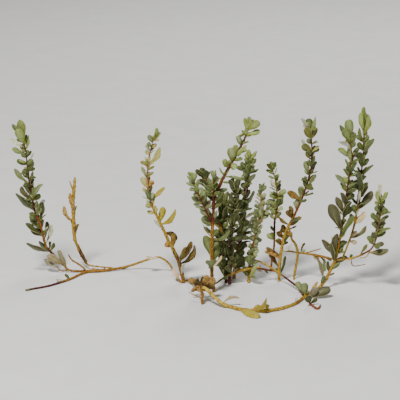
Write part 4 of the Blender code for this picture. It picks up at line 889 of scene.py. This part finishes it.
def fine_stem(piece, node, route, dice):
    """A stem with swollen joints and an uneven skin, rounded at its tip."""
    line = smooth_route(route)
    knobby = KNOBBY.get(node, YOUNG_STEM)
    joint = dice.uniform(0.3, 1.0) * JOINT_GAP
    joints, gone = [], 0.0
    lengths = [0.0]
    for (a, _), (b, _) in zip(line, line[1:]):
        gone += (b - a).length
        lengths.append(gone)
    while joint < gone:
        joints.append(joint)
        joint += JOINT_GAP * dice.uniform(0.7, 1.5)
    way = (line[1][0] - line[0][0]).normalized()
    side = way.orthogonal().normalized()
    seed = Vector((dice.uniform(0, 99), 0, 0))
    points, tints, spots = [], [], []
    for i, (centre, radius) in enumerate(line):
        before, after = line[max(i - 1, 0)][0], line[min(i + 1, len(line) - 1)][0]
        way = (after - before).normalized()
        side = (side - way * side.dot(way)).normalized()
        other = way.cross(side)
        near = min((abs(lengths[i] - j) for j in joints), default=99.0)
        swell = 1 + (JOINT_SWELL + knobby) * math.exp(-(near / JOINT_LONG) ** 2)
        if i == len(line) - 1:
            swell *= TIP_THIN
        ring = RING_DARK * math.exp(-((near - RING_OFF) / RING_LONG) ** 2)
        tint = (*(bark_at(node, centre) * (1 - ring)), 0.0)
        for k in range(STEM_SIDES):
            turn = 2 * math.pi * k / STEM_SIDES
            out = math.cos(turn) * side + math.sin(turn) * other
            skin = 1 + knobby * 1.6 * noise.noise(centre * 0.35 + out * 0.9 + seed)
            points.append(centre + out * (radius * swell * skin))
            tints.append(tint)
            spots.append((lengths[i], math.cos(turn), math.sin(turn)))
    faces = ring_faces(len(line), STEM_SIDES)
    ends = ((line[0][0], 0, 0.0), (line[-1][0] + way * line[-1][1] * 0.5, len(line) - 1, gone))
    for point, ring, length in ends:
        points.append(point)
        tints.append(tints[ring * STEM_SIDES])
        spots.append((length, 0.0, 0.0))
        tip = len(points) - 1
        for k in range(STEM_SIDES):
            a, b = ring * STEM_SIDES + k, ring * STEM_SIDES + (k + 1) % STEM_SIDES
            faces.append((b, a, tip) if ring == 0 else (a, b, tip))
    piece.add(points, faces, tints, spots)


def screen(*colour):
    return (*linear(colour), 1.0)


class Paint:
    """A material's nodes, made and wired with few words."""

    def __init__(self, name, roughness, sheen, shine=0.5):
        self.material = bpy.data.materials.new(name)
        self.material.use_nodes = True
        self.tree = self.material.node_tree
        self.sockets = self.tree.nodes["Principled BSDF"].inputs
        self.sockets["Roughness"].default_value = roughness
        self.sockets["Sheen Weight"].default_value = sheen
        self.sockets["Sheen Roughness"].default_value = 0.5
        self.sockets["Specular IOR Level"].default_value = shine

    def put(self, value, socket):
        if isinstance(value, bpy.types.NodeSocket):
            self.tree.links.new(value, socket)
        else:
            socket.default_value = value

    def node(self, kind, values, output=0, **traits):
        """A new node's output, with values or links in its sockets."""
        node = self.tree.nodes.new("ShaderNode" + kind)
        for trait, value in traits.items():
            setattr(node, trait, value)
        for socket, value in values.items():
            self.put(value, node.inputs[socket])
        return node.outputs[output]

    def reckon(self, operation, *values):
        return self.node("Math", dict(enumerate(values)), operation=operation)

    def times(self, first, second):
        return self.reckon("MULTIPLY", first, second)

    def attribute(self, name, output):
        return self.node("Attribute", {}, output, attribute_name=name)

    def spot(self):
        """The place on a leaf or a stem, as its three numbers."""
        node = self.tree.nodes.new("ShaderNodeSeparateXYZ")
        self.put(self.attribute("spot", "Vector"), node.inputs[0])
        return node.outputs

    def grain(self, size_mm, detail=3.0, place=None):
        """A cloudy pattern of that size, from 0 to 1."""
        if place is None:
            place = self.node("TexCoord", {}, "Object")
        values = {"Scale": 1000.0 / size_mm, "Detail": detail, "Vector": place}
        return self.node("TexNoise", values, "Fac")

    def between(self, value, low, high, start=0.0, end=1.0):
        values = dict(enumerate((value, low, high, start, end)))
        return self.node("MapRange", values, interpolation_type="SMOOTHSTEP")

    def blend(self, share, first, second, mode="MIX"):
        values = {"Factor": share, 6: first, 7: second}
        return self.node("Mix", values, 2, data_type="RGBA", blend_type=mode)

    def tinted(self, share, *colour):
        """Starts with each point's own tint, times a colour as far as the share says."""
        tint = self.attribute("tint", "Color")
        self.colour = self.blend(share, tint, self.blend(1.0, tint, screen(*colour), "MULTIPLY"))

    def over(self, share, *colour):
        """Lays a colour over the last."""
        self.colour = self.blend(share, self.colour, screen(*colour))

    def done(self, height, deep_mm):
        """The material, with its colour and a bump of that depth."""
        self.put(self.colour, self.sockets["Base Color"])
        values = {"Distance": deep_mm * 0.001, "Height": height}
        self.put(self.node("Bump", values), self.sockets["Normal"])
        return self.material


def leaf_paint():
    """Fleshy leaf: pale base, rib and edge, cloudy green, a mealy bloom, a silvery middle that is
    partly a painted highlight, and a painted highlight round the rim.
    """
    paint = Paint("fleshy_leaf", 0.55, 0.04, 0.3)
    along, across, _ = paint.spot()
    off = paint.reckon("ABSOLUTE", across)
    cloud = paint.between(paint.grain(3.5), 0.3, 0.7)
    paint.tinted(cloud, 204, 200, 146)
    rib = paint.times(paint.between(off, 0.05, 0.16, 1.0, 0.0),
                      paint.between(along, 0.1, 0.95, 0.55, 0.0))
    paint.over(rib, 172, 178, 100)
    stalk = paint.between(along, 0.06, 0.3, 0.6, 0.0)
    paint.over(stalk, 154, 132, 56)
    # The silvery middle is in part the leaf's mealy silver and in part a painted highlight.
    silver_and_highlight = paint.attribute("tint", "Alpha")
    middle = paint.times(paint.between(off, 0.3, 0.85, 1.0, 0.0), paint.between(along, 0.2, 0.6))
    paint.over(paint.times(silver_and_highlight, middle), 192, 198, 148)
    edge = paint.between(paint.reckon("SUBTRACT", off, silver_and_highlight), 0.78, 0.95, 0.0, 0.4)
    paint.over(edge, 176, 138, 104)
    # A pale line round the rim is a painted highlight.
    painted_rim_highlight = paint.between(off, 0.84, 0.98, 0.0, 0.45)
    paint.over(painted_rim_highlight, 196, 196, 134)
    bloom = paint.between(paint.grain(0.45, 2.0), 0.52, 0.68, 0.0, 0.14)
    paint.over(bloom, 200, 200, 140)
    paint.put(paint.between(cloud, 0.0, 1.0, 0.5, 0.66), paint.sockets["Roughness"])
    return paint.done(paint.reckon("ADD", paint.grain(0.5), paint.times(rib, 1.2)), 0.12)


def dry_paint():
    """Shrivelled leaf: brown patches and fine wrinkles along it."""
    paint = Paint("dry_leaf", 0.75, 0.03, 0.25)
    _, across, _ = paint.spot()
    paint.tinted(paint.between(paint.grain(2.6), 0.42, 0.66), 150, 130, 84)
    wrinkle = paint.reckon("SINE", paint.times(across, 16.0))
    paint.over(paint.between(wrinkle, 0.2, 1.0, 0.0, 0.3), 210, 180, 130)
    return paint.done(paint.reckon("ADD", wrinkle, paint.grain(0.8)), 0.15)


def bark_paint():
    """Stem skin: streaks along it, small dark scars and pale flecks."""
    paint = Paint("stem_skin", 0.62, 0.02, 0.35)
    length, one, other = paint.spot()
    # The pattern is drawn out along the stem.
    drawn = ((length, 0.00012), (one, 0.0011), (other, 0.0011))
    values = {i: paint.times(value, share) for i, (value, share) in enumerate(drawn)}
    streak = paint.grain(0.5, 3.0, paint.node("CombineXYZ", values))
    paint.tinted(paint.between(streak, 0.4, 0.62), 150, 136, 122)
    fleck = paint.between(paint.grain(0.9), 0.6, 0.74, 0.0, 0.3)
    paint.over(fleck, 214, 176, 104)
    return paint.done(paint.reckon("ADD", streak, paint.grain(0.6)), 0.18)


def floor():
    paint = Paint("pale_floor", 0.9, 0.0)
    cloud = paint.between(paint.grain(60.0), 0.3, 0.7)
    tone = paint.blend(cloud, screen(232, 231, 227), screen(236, 235, 232))
    paint.put(tone, paint.sockets["Base Color"])
    mesh = bpy.data.meshes.new("floor")
    bm = bmesh.new()
    bmesh.ops.create_circle(bm, cap_ends=True, segments=96, radius=FLOOR_RADIUS)
    bm.to_mesh(mesh)
    bm.free()
    mesh.materials.append(paint.material)
    thing = bpy.data.objects.new("floor", mesh)
    thing.location.z = -FLOOR_BELOW
    bpy.context.collection.objects.link(thing)


def studio():
    """The floor, the lamps, the light all round, and the camera far in front."""
    floor()
    for name, (place, size, power) in LAMPS.items():
        lamp = bpy.data.lights.new(name, "AREA")
        lamp.shape, lamp.size, lamp.energy = "DISK", size, power
        thing = bpy.data.objects.new(name, lamp)
        thing.location = place
        thing.rotation_euler = (LIT - Vector(place)).to_track_quat("-Z", "Y").to_euler()
        bpy.context.collection.objects.link(thing)
    world = bpy.data.worlds.new("studio")
    world.use_nodes = True
    sky = world.node_tree.nodes["Background"]
    sky.inputs["Color"].default_value = (1.0, 1.0, 1.0, 1.0)
    sky.inputs["Strength"].default_value = WORLD_LIGHT
    bpy.context.scene.world = world
    lens = bpy.data.cameras.new("camera")
    lens.sensor_width = SENSOR
    lens.lens = SENSOR * EYE_AWAY / (2 * MIDDLE_STEP * STEP)
    camera = bpy.data.objects.new("camera", lens)
    camera.location = (EYE - MIDDLE) * 0.001
    camera.rotation_euler = (math.pi / 2 - EYE_TILT, 0, 0)
    bpy.context.collection.objects.link(camera)
    bpy.context.scene.camera = camera


def main():
    """Each node gets its stems, its living leaves and its dry leaves."""
    studio()
    skin, fleshy, shrivelled = bark_paint(), leaf_paint(), dry_paint()
    plants, garden = grow()
    for number, (node, leaves) in enumerate(plants.items()):
        dice = random.Random(900 + number)
        if node != BARE:
            small_leaves(garden, node, leaves, dice)
        stems, living, dead = Piece(), Piece(), Piece()
        for route in PLANT[node]["stems"]:
            fine_stem(stems, node, led_on(node, route), dice)
        for leaf in leaves:
            fine_leaf(dead if leaf["kind"] in DRY else living, node, leaf, dice)
        stems.build(f"{node}_stems", node, skin)
        for piece, what, look in ((living, "leaves", fleshy), (dead, "dry_leaves", shrivelled)):
            if piece.points:
                piece.build(f"{node}_{what}", node, look)


main()
